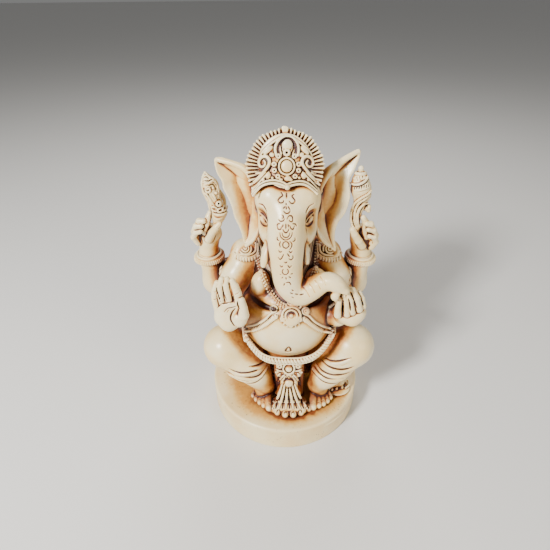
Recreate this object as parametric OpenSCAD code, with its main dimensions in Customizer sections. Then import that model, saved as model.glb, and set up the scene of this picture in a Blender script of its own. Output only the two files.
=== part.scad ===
// Seated Ganesha idol on a round plinth, cast in cream resin.
// Millimetres. +Z is up, the figure faces -Y, and the origin is the centre of the plinth's underside.
// "right" and "left" are the figure's own sides, so right is at -X.

/* [Plinth] */
// Radius of the round plinth
plinth_r = 80; // [70:1:100]
// Height of the plinth
plinth_h = 29; // [15:1:45]
// Bevel round the plinth's top edge
plinth_bevel = 1.5; // [0.5:0.1:3]
// Height of the low pad that the figure stands on
footing_h = 3; // [2:0.5:5]

/* [Torso] */
// Width of the belly
belly_w = 92; // [76:1:111]
// Depth of the belly, front to back
belly_d = 94; // [80:1:110]
// Height of the belly
belly_h = 98; // [84:1:116]
// Width of the chest across the shoulders
chest_w = 92; // [78:1:110]
// Thickness of the plaited belt
belt_t = 5; // [3.5:0.1:7]
// Radius of the round medallion on the belly
medallion_r = 9; // [7:0.5:12]

/* [Head] */
// Width of the head
head_w = 54; // [45:1:65]
// Radius of the trunk where it leaves the face
trunk_root_r = 13; // [11:0.5:15.5]
// Radius of the trunk at its lower bend
trunk_bend_r = 9.2; // [8:0.1:11]
// Radius of the trunk at its tip
trunk_tip_r = 5; // [4:0.1:6]
// Length of an ear from its root to its tip
ear_l = 44; // [37:1:53]
// Thickness of an ear's shell
ear_t = 6; // [5:0.5:8]

/* [Crown] */
// Radius of the crown's front, over the fluted rim
crown_r = 30; // [25:0.5:36]
// Width of the fluted rim
rim_w = 6.5; // [5:0.5:8]
// Number of flutes round the rim
flutes = 37; // [21:2:45]
// Thickness of the crown's front
crown_t = 7; // [6:0.5:9]

/* [Arms and legs] */
// Radius of a raised wrist
wrist_r = 10; // [8.5:0.5:12]
// Radius of an arm at the shoulder
arm_r = 14; // [12:0.5:16.5]
// Thickness of a bangle
bangle_t = 5; // [4:0.1:6]
// Radius of a knee
knee_r = 19.5; // [16.5:0.5:23]
// Radius of an ankle
ankle_r = 12; // [10:0.5:14]

/* [Hidden] */

top = plinth_h;
stand = top + footing_h;
fine = 28;
plain = 16;
small = 10;
ivory = [0.90, 0.85, 0.72];
tan_shade = [0.80, 0.70, 0.52];

// ---- anchors of the figure ----
hip_c = [3, 8, stand + 36];
hip_r = [44, 36, 42];
belly_c = [2.5, -12, top + 104.5];
chest_c = [1, 2, top + 140];
chest_r = [chest_w / 2 - 5, 30, 38];
shoulder = [chest_w / 2 - 9, -2, top + 158];
head_c = [2, -14, top + 216];
head_r = [head_w / 2, 33, 32];
right_knee = [-58, -28, top + 65];
left_knee = [65, -28, top + 68];
right_ankle = [-19, -34, stand + 17];
left_ankle = [33, -34, stand + 17];
right_toes = [-23, -47, stand + 4];
left_toes = [37, -47, stand + 4];
belt_front = [3, belly_c.y - belly_d / 2 + 12, top + 65];

function belly_y(x, z) =
    let (u = (x - belly_c.x) / (belly_w / 2), v = (z - belly_c.z) / (belly_h / 2))
    belly_c.y - belly_d / 2 * sqrt(max(0.02, 1 - u * u - v * v));

// ---- building blocks ----
module ball(p, r, fn = plain) translate(p) sphere(r, $fn = fn);
module egg(p, r, turn = [0, 0, 0], fn = fine) translate(p) rotate(turn) scale(r) sphere(1, $fn = fn);
module limb(points, fn = plain)
    for (i = [0 : len(points) - 2])
        hull() {
            ball([points[i][0], points[i][1], points[i][2]], points[i][3], fn);
            ball([points[i + 1][0], points[i + 1][1], points[i + 1][2]], points[i + 1][3], fn);
        }
module above(z) translate([-200, -200, z]) cube([400, 400, 500]);

// ---- plinth ----
module plinth()
    color(ivory)
    rotate_extrude($fn = 160)
        polygon([
            [0, 0], [plinth_r - plinth_bevel, 0], [plinth_r, plinth_bevel],
            [plinth_r, plinth_h - plinth_bevel], [plinth_r - plinth_bevel, plinth_h], [0, plinth_h]
        ]);

module footing()
    color(tan_shade)
    translate([0, 0, top])
        linear_extrude(footing_h)
            hull() {
                translate([right_toes.x, -41]) circle(14, $fn = 40);
                translate([3, -50]) circle(18, $fn = 40);
                translate([left_toes.x + 2, -40]) circle(15, $fn = 40);
                translate([56, -27]) circle(11, $fn = 40);
                translate([0, 12]) circle(34, $fn = 60);
            }

// ---- body ----
module torso_shape() {
    egg(hip_c, hip_r);
    egg(belly_c, [belly_w / 2, belly_d / 2, belly_h / 2], fn = 36);
    egg(chest_c, chest_r);
    hull() {
        ball([-shoulder.x, shoulder.y, shoulder.z], arm_r);
        ball(shoulder, arm_r);
    }
}
module torso()
    color(ivory)
    intersection() {
        torso_shape();
        above(stand);
    }

module leg_shape(knee, ankle, hip_x) {
    hull() {
        ball([hip_x, 4, stand + 26], 25);
        ball(knee, knee_r);
    }
    hull() {
        ball(knee, knee_r);
        ball(ankle, ankle_r + 1);
    }
}
module leg(knee, ankle, hip_x)
    color(ivory)
    intersection() {
        difference() {
            leg_shape(knee, ankle, hip_x);
            torso_shape();
        }
        above(stand);
    }
module right_leg() leg(right_knee, right_ankle, -24);
module left_leg() leg(left_knee, left_ankle, 28);

module foot_shape(ankle, toes, splay) {
    hull() {
        ball(ankle, ankle_r);
        ball([toes.x - 7, toes.y, toes.z + 1], 5);
        ball([toes.x + 7, toes.y, toes.z + 1], 5);
    }
    for (i = [-2 : 2])
        hull() {
            ball([toes.x + i * 4.6, toes.y, toes.z + 1], 3.2, small);
            ball([toes.x + i * 4.9, toes.y - 6 - splay * i * 1.6, toes.z], 2.8, small);
        }
}
module foot(ankle, toes, splay, knee, hip_x)
    color(ivory)
    intersection() {
        difference() {
            foot_shape(ankle, toes, splay);
            leg_shape(knee, ankle, hip_x);
        }
        above(stand);
    }
module right_foot() foot(right_ankle, right_toes, 1, right_knee, -24);
module left_foot() foot(left_ankle, left_toes, -1, left_knee, 28);

// ---- cloth and belt ----
module front_cloth_shape()
    hull() {
        for (x = [-9, 15]) ball([x, belt_front.y + 8, belt_front.z - 7], 4, small);
        for (x = [-12, 18]) ball([x, -58, stand + 3], 5, small);
        ball([3, -40, stand + 6], 6, small);
    }
module front_cloth()
    color(tan_shade)
    intersection() {
        difference() {
            front_cloth_shape();
            torso_shape();
            leg_shape(right_knee, right_ankle, -24);
            leg_shape(left_knee, left_ankle, 28);
            foot_shape(right_ankle, right_toes, 1);
            foot_shape(left_ankle, left_toes, -1);
        }
        above(stand);
    }

// The belt hangs on the belly: low in front and rising to the hips at the back.
function belt_point(a) =
    let (
        z = belt_front.z + (1 - cos(a)) * 17,
        v = (z - belly_c.z) / (belly_h / 2),
        s = sqrt(max(0.05, 1 - v * v))
    )
    [belly_c.x + (belly_w / 2 * s + 1) * sin(a), belly_c.y - (belly_d / 2 * s + 1) * cos(a), z];
module belt_shape()
    for (a = [-105 : 15 : 90])
        hull() {
            ball(belt_point(a), belt_t / 2, small);
            ball(belt_point(a + 15), belt_t / 2, small);
        }
module belt()
    color(tan_shade)
    difference() {
        belt_shape();
        torso_shape();
        leg_shape(right_knee, right_ankle, -24);
        leg_shape(left_knee, left_ankle, 28);
        front_cloth_shape();
    }
module belt_clasp()
    color(ivory)
    difference() {
        translate([3, belt_front.y + 3, belt_front.z - 10])
            rotate([68, 0, 0])
                cylinder(h = 9, r = 6, $fn = 48);
        torso_shape();
        front_cloth_shape();
        belt_shape();
    }

// ---- head ----
module head_shape() {
    egg(head_c, head_r, fn = 32);
    egg([head_c.x, head_c.y - 10, head_c.z - 21], [head_w / 2 - 8, 19, 17]);
}
module head()
    color(ivory)
    difference() {
        head_shape();
        torso_shape();
    }

trunk_line = [
    [1, -40, top + 216, trunk_root_r], [1, -50, top + 199, trunk_root_r - 2],
    [2, -53, top + 178, trunk_bend_r + 0.6], [5, -53, top + 162, trunk_bend_r],
    [13, -53, top + 154, trunk_bend_r - 0.8], [21, -54, top + 161, trunk_bend_r - 2.4],
    [31, -56, top + 169, trunk_tip_r + 1], [42, -58, top + 164, trunk_tip_r]
];
module trunk_shape() limb(trunk_line);
module trunk()
    color(ivory)
    difference() {
        trunk_shape();
        head_shape();
        torso_shape();
    }

function ear_points(s) = [
    [head_c.x + s * (head_w / 2 - 4), -24, top + 230],
    [head_c.x + s * (head_w / 2 + 8), -19, top + 242],
    [head_c.x + s * (head_w / 2 + ear_l * 0.62), -9, top + 249],
    [head_c.x + s * (head_w / 2 + 18), -13, top + 222],
    [head_c.x + s * (head_w / 2 + 13), -18, top + 203],
    [head_c.x + s * (head_w / 2 + 6), -26, top + 184],
    [head_c.x + s * (head_w / 2 - 6), -30, top + 202]
];
module ear_shape(s)
    hull()
        for (p = ear_points(s)) ball(p, ear_t / 2, small);
module ear(s)
    color(ivory)
    difference() {
        ear_shape(s);
        head_shape();
        torso_shape();
        crown_cap_shape();
    }
module right_ear() ear(-1);
module left_ear() ear(1);

module tusk_shape(s)
    limb([
        [1 + s * 12, -36, top + 193, 3.6],
        [1 + s * 13.5, -43, top + 181, 2.6]
    ], small);
module tusk(s)
    color(ivory)
    difference() {
        tusk_shape(s);
        head_shape();
        trunk_shape();
        torso_shape();
        garland_shape();
    }
module right_tusk() tusk(-1);
module left_tusk() tusk(1);

// ---- crown ----
crown_c = [-0.6, -29, top + 246.5];
crown_lean = 18;
module crown_cap_shape() egg([head_c.x, -8, top + 234], [head_w / 2 + 1, 31, 32], fn = 32);
module crown_cap()
    color(tan_shade)
    difference() {
        intersection() {
            crown_cap_shape();
            above(top + 216);
        }
        head_shape();
        torso_shape();
    }
module on_crown() translate(crown_c) rotate([90 - crown_lean, 0, 0]) children();
module arch(r)
    difference() {
        union() {
            circle(r, $fn = 72);
            translate([-r * 0.88, -r * 0.72]) square([r * 1.76, r * 0.72]);
        }
        translate([0, -r * 1.15]) scale([1, 0.75]) circle(r * 0.84, $fn = 48);
    }
module rim_outline()
    polygon([
        for (i = [0 : flutes * 4 - 1])
            let (a = -38 + 256 * i / (flutes * 4 - 1), r = crown_r - (i % 4 < 2 ? 0 : 1.1))
            [r * cos(a), r * sin(a)]
    ]);
module crown_front_shape()
    on_crown()
        translate([0, 0, 1])
            linear_extrude(crown_t) arch(crown_r - rim_w);
module crown_front()
    color(ivory)
    difference() {
        crown_front_shape();
        head_shape();
        crown_cap_shape();
        ear_shape(1);
        ear_shape(-1);
    }
module crown_rim()
    color(ivory)
    difference() {
        on_crown() translate([0, 0, -2])
            linear_extrude(crown_t)
                difference() {
                    rim_outline();
                    translate([-crown_r, -crown_r * 1.6]) square([crown_r * 2, crown_r]);
                }
        crown_front_shape();
        head_shape();
        crown_cap_shape();
        ear_shape(1);
        ear_shape(-1);
    }

// ---- rear arms ----
rear_shoulder = [shoulder.x - 4, 8, top + 143];
rear_elbow = [66, 6, top + 122];
rear_wrist = [70, 0, top + 152];
rear_palm = [66.5, -1, top + 169];
armlet_h = 7;
module rear_arm_shape(s)
    limb([
        [s * rear_shoulder.x, rear_shoulder.y, rear_shoulder.z, arm_r],
        [s * rear_elbow.x, rear_elbow.y, rear_elbow.z, wrist_r + 3],
        [s * rear_wrist.x, rear_wrist.y, rear_wrist.z, wrist_r]
    ]);
module rear_arm(s)
    color(ivory)
    difference() {
        rear_arm_shape(s);
        torso_shape();
    }
module right_rear_arm() rear_arm(-1);
module left_rear_arm() rear_arm(1);

module rear_hand_shape(s) {
    egg([s * rear_palm.x, rear_palm.y, rear_palm.z], [wrist_r, 9, 13]);
    hull() {
        ball([s * (rear_palm.x + 5), -6, rear_palm.z + 2], 4, small);
        ball([s * (rear_palm.x + 11), -8, rear_palm.z - 8], 3.5, small);
        ball([s * (rear_palm.x + 10), 2, rear_palm.z - 2], 4, small);
    }
    limb([
        [s * (rear_palm.x - 2), -5, rear_palm.z + 8, 4],
        [s * (rear_palm.x - 1), -8, rear_palm.z + 17, 3]
    ], small);
}
module rear_hand(s)
    color(ivory)
    difference() {
        rear_hand_shape(s);
        rear_arm_shape(s);
    }
module right_rear_hand() rear_hand(-1);
module left_rear_hand() rear_hand(1);

module bangle_at(p, turn, r)
    translate(p) rotate(turn)
        rotate_extrude($fn = 64) translate([r, 0]) circle(bangle_t / 2, $fn = 24);
module rear_bangle(s)
    color(tan_shade)
    difference() {
        bangle_at(
            [s * (rear_wrist.x + 0.3), rear_wrist.y + 0.4, rear_wrist.z + 1],
            [0, s * -6, 0],
            wrist_r + 0.8
        );
        rear_arm_shape(s);
        rear_hand_shape(s);
    }
module right_rear_bangle() rear_bangle(-1);
module left_rear_bangle() rear_bangle(1);

// ---- what the raised hands hold ----
module lotus_bud()
    color(tan_shade)
    difference() {
        limb([
            [-rear_palm.x + 9, -5, rear_palm.z + 9, 4.5],
            [-53, -5, top + 187, 5.5],
            [-57, -4, top + 200, 7.5],
            [-61, -3, top + 218, 8.5],
            [-64, -2, top + 236, 2]
        ], plain);
        rear_hand_shape(-1);
        rear_arm_shape(-1);
        ear_shape(-1);
    }
module conch()
    color(tan_shade)
    difference() {
        limb([
            [59, -5, top + 178, 5], [59, -4, top + 192, 6.5], [62, -2, top + 212, 9.5],
            [62, 0, top + 228, 7], [61, 0, top + 237, 3]
        ], plain);
        rear_hand_shape(1);
        rear_arm_shape(1);
        ear_shape(1);
    }

// ---- front arms ----
front_elbow = [49, -8, top + 117];
front_wrist = [48, -36, top + 116];
module front_arm_shape(s)
    limb([
        [s * shoulder.x, shoulder.y - 6, shoulder.z, arm_r],
        [s * front_elbow.x, front_elbow.y, front_elbow.z, wrist_r + 2],
        [s * front_wrist.x, front_wrist.y, front_wrist.z, wrist_r]
    ]);
module front_arm(s)
    color(ivory)
    difference() {
        front_arm_shape(s);
        torso_shape();
        rear_arm_shape(s);
        leg_shape(s < 0 ? right_knee : left_knee, s < 0 ? right_ankle : left_ankle, s < 0 ? -24 : 28);
    }
module right_front_arm() front_arm(-1);
module left_front_arm() front_arm(1);

palm_c = [-45, -48, top + 126];
module blessing_hand_shape() {
    egg(palm_c, [15.5, 9, 19]);
    hull() {
        ball([palm_c.x - 10, palm_c.y, palm_c.z + 8], 5, small);
        ball([palm_c.x + 8, palm_c.y, palm_c.z + 10], 5, small);
        ball([palm_c.x - 11, palm_c.y + 3, palm_c.z + 29], 4, small);
        ball([palm_c.x + 2, palm_c.y + 3, palm_c.z + 32], 4, small);
    }
    limb([
        [palm_c.x + 8, palm_c.y - 7, palm_c.z - 6, 7],
        [palm_c.x + 12, palm_c.y - 6, palm_c.z + 8, 4.5]
    ], 16);
}
module blessing_hand()
    color(ivory)
    difference() {
        blessing_hand_shape();
        front_arm_shape(-1);
        leg_shape(right_knee, right_ankle, -24);
        torso_shape();
    }
offer_c = [55, -48, top + 129];
module offering_hand_shape() {
    egg(offer_c, [16, 13, 15]);
    for (i = [-1.5 : 1 : 1.5])
        limb([
            [offer_c.x + i * 7.4, offer_c.y - 8 + abs(i), offer_c.z + 4, 3.6],
            [offer_c.x + i * 4.6, offer_c.y - 9 + abs(i), offer_c.z + 24, 2.8]
        ], small);
    limb([
        [offer_c.x - 13, offer_c.y - 3, offer_c.z + 6, 4.6],
        [offer_c.x - 11, offer_c.y - 5, offer_c.z + 20, 3.4]
    ], small);
}
module offering_hand()
    color(ivory)
    difference() {
        offering_hand_shape();
        front_arm_shape(1);
        leg_shape(left_knee, left_ankle, 28);
        torso_shape();
        trunk_shape();
    }
module left_front_bangle()
    color(tan_shade)
    difference() {
        bangle_at([front_wrist.x + 1, front_wrist.y + 3, front_wrist.z], [90, 0, 0], wrist_r + 0.8);
        front_arm_shape(1);
        torso_shape();
    }
module sweet()
    color(tan_shade)
    difference() {
        ball([offer_c.x - 5, offer_c.y - 1, offer_c.z + 21], 9.5, 24);
        offering_hand_shape();
        trunk_shape();
        torso_shape();
    }

// ---- ornaments on the body ----
module collar_half(s)
    hull() {
        ball([s * 22, -24, top + 172], 3.5, small);
        ball([s * 40, -20, top + 170], 3.5, small);
        ball([s * 43, -8, top + 172], 3.5, small);
        ball([s * 24, -6, top + 180], 3.5, small);
        ball([s * 26, -28, top + 164], 3.5, small);
    }
module collar(s)
    color(tan_shade)
    difference() {
        collar_half(s);
        torso_shape();
        head_shape();
        ear_shape(s);
        front_arm_shape(s);
        rear_arm_shape(s);
        garland_shape();
    }
module right_collar() collar(-1);
module left_collar() collar(1);

module armlet(s)
    color(tan_shade)
    difference() {
        translate([s * (shoulder.x + 4), shoulder.y - 8, shoulder.z - 12])
            rotate([14, s * 8, 0])
                cylinder(h = armlet_h, r = arm_r + 1.4, $fn = 60);
        front_arm_shape(s);
        torso_shape();
        rear_arm_shape(s);
    }
module right_armlet() armlet(-1);
module left_armlet() armlet(1);

strand_r = 3.2;
module garland_shape() {
    limb([
        [-20, -27, top + 184, strand_r],
        [-17, -33, top + 168, strand_r],
        [-10, -40, top + 152, strand_r],
        [3, -50, top + 139, strand_r]
    ], small);
    limb([
        [24, -27, top + 182, strand_r],
        [20, -33, top + 168, strand_r],
        [14, -40, top + 152, strand_r],
        [3, -50, top + 139, strand_r]
    ], small);
}
module garland()
    color(tan_shade)
    difference() {
        garland_shape();
        torso_shape();
        head_shape();
        trunk_shape();
    }
module medallion_shape()
    translate([4, belly_y(4, top + 125) + 3, top + 125])
        rotate([72, 0, 0])
            cylinder(h = 6.5, r = medallion_r, $fn = 60);
module medallion()
    color(ivory)
    difference() {
        medallion_shape();
        torso_shape();
        trunk_shape();
        garland_shape();
    }
module swag_shape(s) {
    x0 = 4 + s * 13;
    limb([
        [x0, belly_y(x0, top + 130) - 0.5, top + 130, 3],
        [x0 + s * 9, belly_y(x0 + s * 9, top + 120) - 0.5, top + 120, 2.6],
        [x0 + s * 21, belly_y(x0 + s * 21, top + 112) - 0.5, top + 112, 2.6]
    ], small);
}
module swag(s)
    color(tan_shade)
    difference() {
        swag_shape(s);
        torso_shape();
        trunk_shape();
        medallion_shape();
        garland_shape();
        front_arm_shape(s);
        if (s < 0) blessing_hand_shape();
        if (s > 0) offering_hand_shape();
    }
module right_swag() swag(-1);
module left_swag() swag(1);

// ---- mouse beside the left foot ----
module mouse()
    color(ivory)
    intersection() {
        difference() {
            union() {
                limb([
                    [50, -34, stand + 6, 4.6],
                    [57, -29, stand + 8, 5.2],
                    [62, -24, stand + 4, 3.6]
                ], plain);
                limb([[50, -34, stand + 6, 2.4], [47, -40, stand + 5, 1.8]], small);
            }
            foot_shape(left_ankle, left_toes, -1);
            leg_shape(left_knee, left_ankle, 28);
        }
        above(stand);
    }

plinth();
footing();
torso();
right_leg();
left_leg();
right_foot();
left_foot();
front_cloth();
belt();
belt_clasp();
head();
trunk();
right_ear();
left_ear();
right_tusk();
left_tusk();
crown_cap();
crown_front();
crown_rim();
right_rear_arm();
left_rear_arm();
right_rear_hand();
left_rear_hand();
right_rear_bangle();
left_rear_bangle();
lotus_bud();
conch();
right_front_arm();
left_front_arm();
blessing_hand();
offering_hand();
left_front_bangle();
sweet();
right_collar();
left_collar();
right_armlet();
left_armlet();
garland();
medallion();
right_swag();
left_swag();
mouse();
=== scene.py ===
import math
from concurrent.futures import ThreadPoolExecutor

import bpy
import numpy as np
import openvdb
from mathutils import Euler, Matrix, Vector


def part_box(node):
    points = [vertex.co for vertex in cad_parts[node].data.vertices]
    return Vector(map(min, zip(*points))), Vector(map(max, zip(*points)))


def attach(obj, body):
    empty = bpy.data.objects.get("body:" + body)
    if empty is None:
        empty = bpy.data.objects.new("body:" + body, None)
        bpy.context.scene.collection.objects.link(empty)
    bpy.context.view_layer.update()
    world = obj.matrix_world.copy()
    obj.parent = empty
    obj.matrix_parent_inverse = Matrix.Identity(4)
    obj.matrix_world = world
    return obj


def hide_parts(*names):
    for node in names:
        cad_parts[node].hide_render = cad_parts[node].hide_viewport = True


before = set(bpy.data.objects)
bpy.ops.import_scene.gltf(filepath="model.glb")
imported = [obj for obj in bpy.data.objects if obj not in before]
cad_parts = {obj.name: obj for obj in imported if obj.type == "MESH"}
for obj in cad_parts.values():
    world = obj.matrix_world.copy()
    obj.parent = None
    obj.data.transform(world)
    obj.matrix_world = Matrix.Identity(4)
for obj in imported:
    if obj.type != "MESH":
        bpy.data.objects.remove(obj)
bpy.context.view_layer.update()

# A seated Ganesha, cast in cream marble-dust resin and rubbed with a thin brown wash.
# Sizes below are millimetres in the CAD frame, and a mesh is turned into metres as it is made.
# Each piece is sculpted in its own block of clay: a grid that holds the distance to the surface.

MM = 0.001
# Clay farther than this from its surface, in mm, only needs to be known as far.
FAR = 4.0
# A window round a form reaches at least this much past it, in mm.
MARGIN = 2.5
# How readily faces on a nearly flat part are joined into one, from 0 to 1.
THRIFT = 0.005
COARSE = 1.0

PLINTH_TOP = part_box("plinth")[1][2] / MM
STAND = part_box("footing")[1][2] / MM
PLINTH_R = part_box("plinth")[1][0] / MM

# The sculptor looks down on the figure from here, and lines are laid on the clay along this view.
EYE = np.array([0.0, -316.0, 391.0])
LOOK_DOWN = math.radians(36.1)
LOOK_ASIDE = math.radians(-1.75)
HEAD_TILT = math.radians(0.7)
LENS_MM = 26.97
# A drawn line is looked for from this far before its plane to this far behind it, in mm, by this step.
SEARCH_FROM, SEARCH_TO, SEARCH_STEP = -34, 76, 0.4


def view_axes():
    """The right, forward and up directions of the sculptor's view."""
    level = np.array([math.sin(LOOK_ASIDE), math.cos(LOOK_ASIDE), 0.0])
    forward = level * math.cos(LOOK_DOWN) + np.array([0.0, 0.0, -math.sin(LOOK_DOWN)])
    right = np.array([math.cos(LOOK_ASIDE), -math.sin(LOOK_ASIDE), 0.0])
    up = np.cross(right, forward)
    turned_right = right * math.cos(HEAD_TILT) - up * math.sin(HEAD_TILT)
    turned_up = up * math.cos(HEAD_TILT) + right * math.sin(HEAD_TILT)
    return turned_right, forward, turned_up


RIGHT, FORWARD, UP = view_axes()


# ---- forms: each gives the distance in mm from points to a simple shape ----

class Form:
    def __init__(self, low, high, distance):
        self.low = np.array(low, float)
        self.high = np.array(high, float)
        self.distance = distance


def turn_matrix(degrees):
    return np.array(Euler([math.radians(a) for a in degrees]).to_matrix())


def on_axes(m, c, x, y, z):
    """Places measured from c along the rows of m."""
    p = (x - c[0], y - c[1], z - c[2])
    return [m[i][0] * p[0] + m[i][1] * p[1] + m[i][2] * p[2] for i in range(3)]


def egg_distance(p, r):
    """About how far p, on an egg's own axes, is from the surface of the egg with radii r."""
    inner = np.sqrt(sum((p[i] / r[i]) ** 2 for i in range(3)))
    slope = np.sqrt(sum((p[i] / r[i] ** 2) ** 2 for i in range(3)))
    return inner * (inner - 1) / np.maximum(slope, 1e-5)


def egg(centre, radii, turn=None):
    c = np.array(centre, float)
    r = np.array(radii, float)
    if turn is None:
        return Form(c - r, c + r, lambda x, y, z: egg_distance((x - c[0], y - c[1], z - c[2]), r))
    m = turn_matrix(turn).T
    return Form(c - r.max(), c + r.max(), lambda x, y, z: egg_distance(on_axes(m, c, x, y, z), r))


def ball(centre, radius):
    return egg(centre, (radius, radius, radius))


def rod(a, b, ra, rb):
    """A rod with round ends, from radius ra at a to radius rb at b."""
    a = np.array(a, float)
    b = np.array(b, float)
    run = b - a
    length = max(float(run @ run), 1e-6)

    def distance(x, y, z):
        p = (x - a[0], y - a[1], z - a[2])
        t = np.clip((p[0] * run[0] + p[1] * run[1] + p[2] * run[2]) / length, 0, 1)
        return np.sqrt(sum((p[i] - t * run[i]) ** 2 for i in range(3))) - (ra + (rb - ra) * t)

    r = max(ra, rb)
    return Form(np.minimum(a, b) - r, np.maximum(a, b) + r, distance)


def ring(centre, radius, thickness, turn=(0, 0, 0), flat=1.0):
    """A round ring about its own Z, flat times as tall as it is thick."""
    c = np.array(centre, float)
    m = turn_matrix(turn).T
    reach = radius + thickness * max(1, flat)

    def distance(x, y, z):
        q = on_axes(m, c, x, y, z)
        out = np.sqrt(q[0] ** 2 + q[1] ** 2) - radius
        return np.sqrt(out ** 2 + (q[2] / flat) ** 2) - thickness

    return Form(c - reach, c + reach, distance)


def slab(centre, half, turn=(0, 0, 0), soft=1.0):
    """A box with rounded edges."""
    c = np.array(centre, float)
    h = np.array(half, float) - soft
    m = turn_matrix(turn).T
    reach = np.linalg.norm(half)

    def distance(x, y, z):
        q = [np.abs(v) - h[i] for i, v in enumerate(on_axes(m, c, x, y, z))]
        outside = np.sqrt(sum(np.maximum(v, 0) ** 2 for v in q))
        return outside + np.minimum(np.maximum(np.maximum(q[0], q[1]), q[2]), 0) - soft

    return Form(c - reach, c + reach, distance)


def rods(points):
    """A chain of rods through points, each (x, y, z, radius)."""
    return [rod(a[:3], b[:3], a[3], b[3]) for a, b in zip(points[:-1], points[1:])]


def meet(a, b, blend):
    """The union of two distances, with a fillet of about blend between them."""
    if blend <= 0:
        return np.minimum(a, b)
    h = np.maximum(blend - np.abs(a - b), 0) / blend
    return np.minimum(a, b) - h * h * blend * 0.25


def bare(a, b, blend):
    """What is left of a when b is cut away, with a soft edge."""
    return -meet(-a, b, blend)


def smooth(points, step=1.0):
    """Points along a smooth curve through the given ones, about step apart. Extra columns follow too."""
    p = np.array(points, float)
    if len(p) < 3:
        count = max(2, int(np.linalg.norm(p[-1][:2] - p[0][:2]) / step) + 1)
        t = np.linspace(0, 1, count)[:, None]
        return p[0] * (1 - t) + p[-1] * t
    closed = np.allclose(p[0], p[-1])
    before = p[-2] if closed else 2 * p[0] - p[1]
    after = p[1] if closed else 2 * p[-1] - p[-2]
    q = np.vstack([before, p, after])
    out = []
    for i in range(1, len(q) - 2):
        count = max(2, int(np.linalg.norm(q[i + 1] - q[i]) / step) + 1)
        t = np.linspace(0, 1, count, endpoint=False)[:, None]
        a, b, c, d = q[i - 1:i + 3]
        out.append(0.5 * (2 * b + (c - a) * t + (2 * a - 5 * b + 4 * c - d) * t ** 2
                          + (3 * b - a - 3 * c + d) * t ** 3))
    out.append(p[-1:])
    return np.vstack(out)


def oval(across, up, wide, tall=None, start=0, end=360, turn=0):
    """Points round an oval, in a drawing plane."""
    tall = wide if tall is None else tall
    count = max(8, int(abs(end - start) / 18))
    a = np.radians(np.linspace(start, end, count + 1))
    x = wide * np.cos(a)
    y = tall * np.sin(a)
    t = math.radians(turn)
    return np.stack([across + x * math.cos(t) - y * math.sin(t),
                     up + x * math.sin(t) + y * math.cos(t)], 1)


def spiral(across, up, outer, inner, start, turns):
    """Points along a spiral that winds in from outer to inner."""
    count = max(10, int(abs(turns) * 20))
    t = np.linspace(0, 1, count)
    a = np.radians(start) + t * turns * 2 * math.pi
    r = outer + (inner - outer) * t
    return np.stack([across + r * np.cos(a), up + r * np.sin(a)], 1)


def sided(rows, side, middle=0.5):
    """The same line on either side of a middle: -1 is the viewer's left, and 1 the right."""
    return [(side * a + middle, b) for a, b in rows]


def around(count):
    """Angles evenly spaced round a full turn."""
    return [2 * math.pi * i / count for i in range(count)]


def directions(path):
    """The unit direction along a path at each of its points."""
    step = np.gradient(path, axis=0)
    return step / np.linalg.norm(step, axis=1)[:, None]


def between_cells(field, q):
    """The field's values at places q, counted in cells, between its own points."""
    q = np.clip(q, 0, np.array(field.shape) - 1.001)
    i = q.astype(int)
    f = (q - i).astype(np.float32)
    total = 0
    for corner in np.ndindex(2, 2, 2):
        w = [f[..., k] if corner[k] else 1 - f[..., k] for k in range(3)]
        at = tuple(i[..., k] + corner[k] for k in range(3))
        total = total + w[0] * w[1] * w[2] * field[at]
    return total


# ---- clay ----

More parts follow.
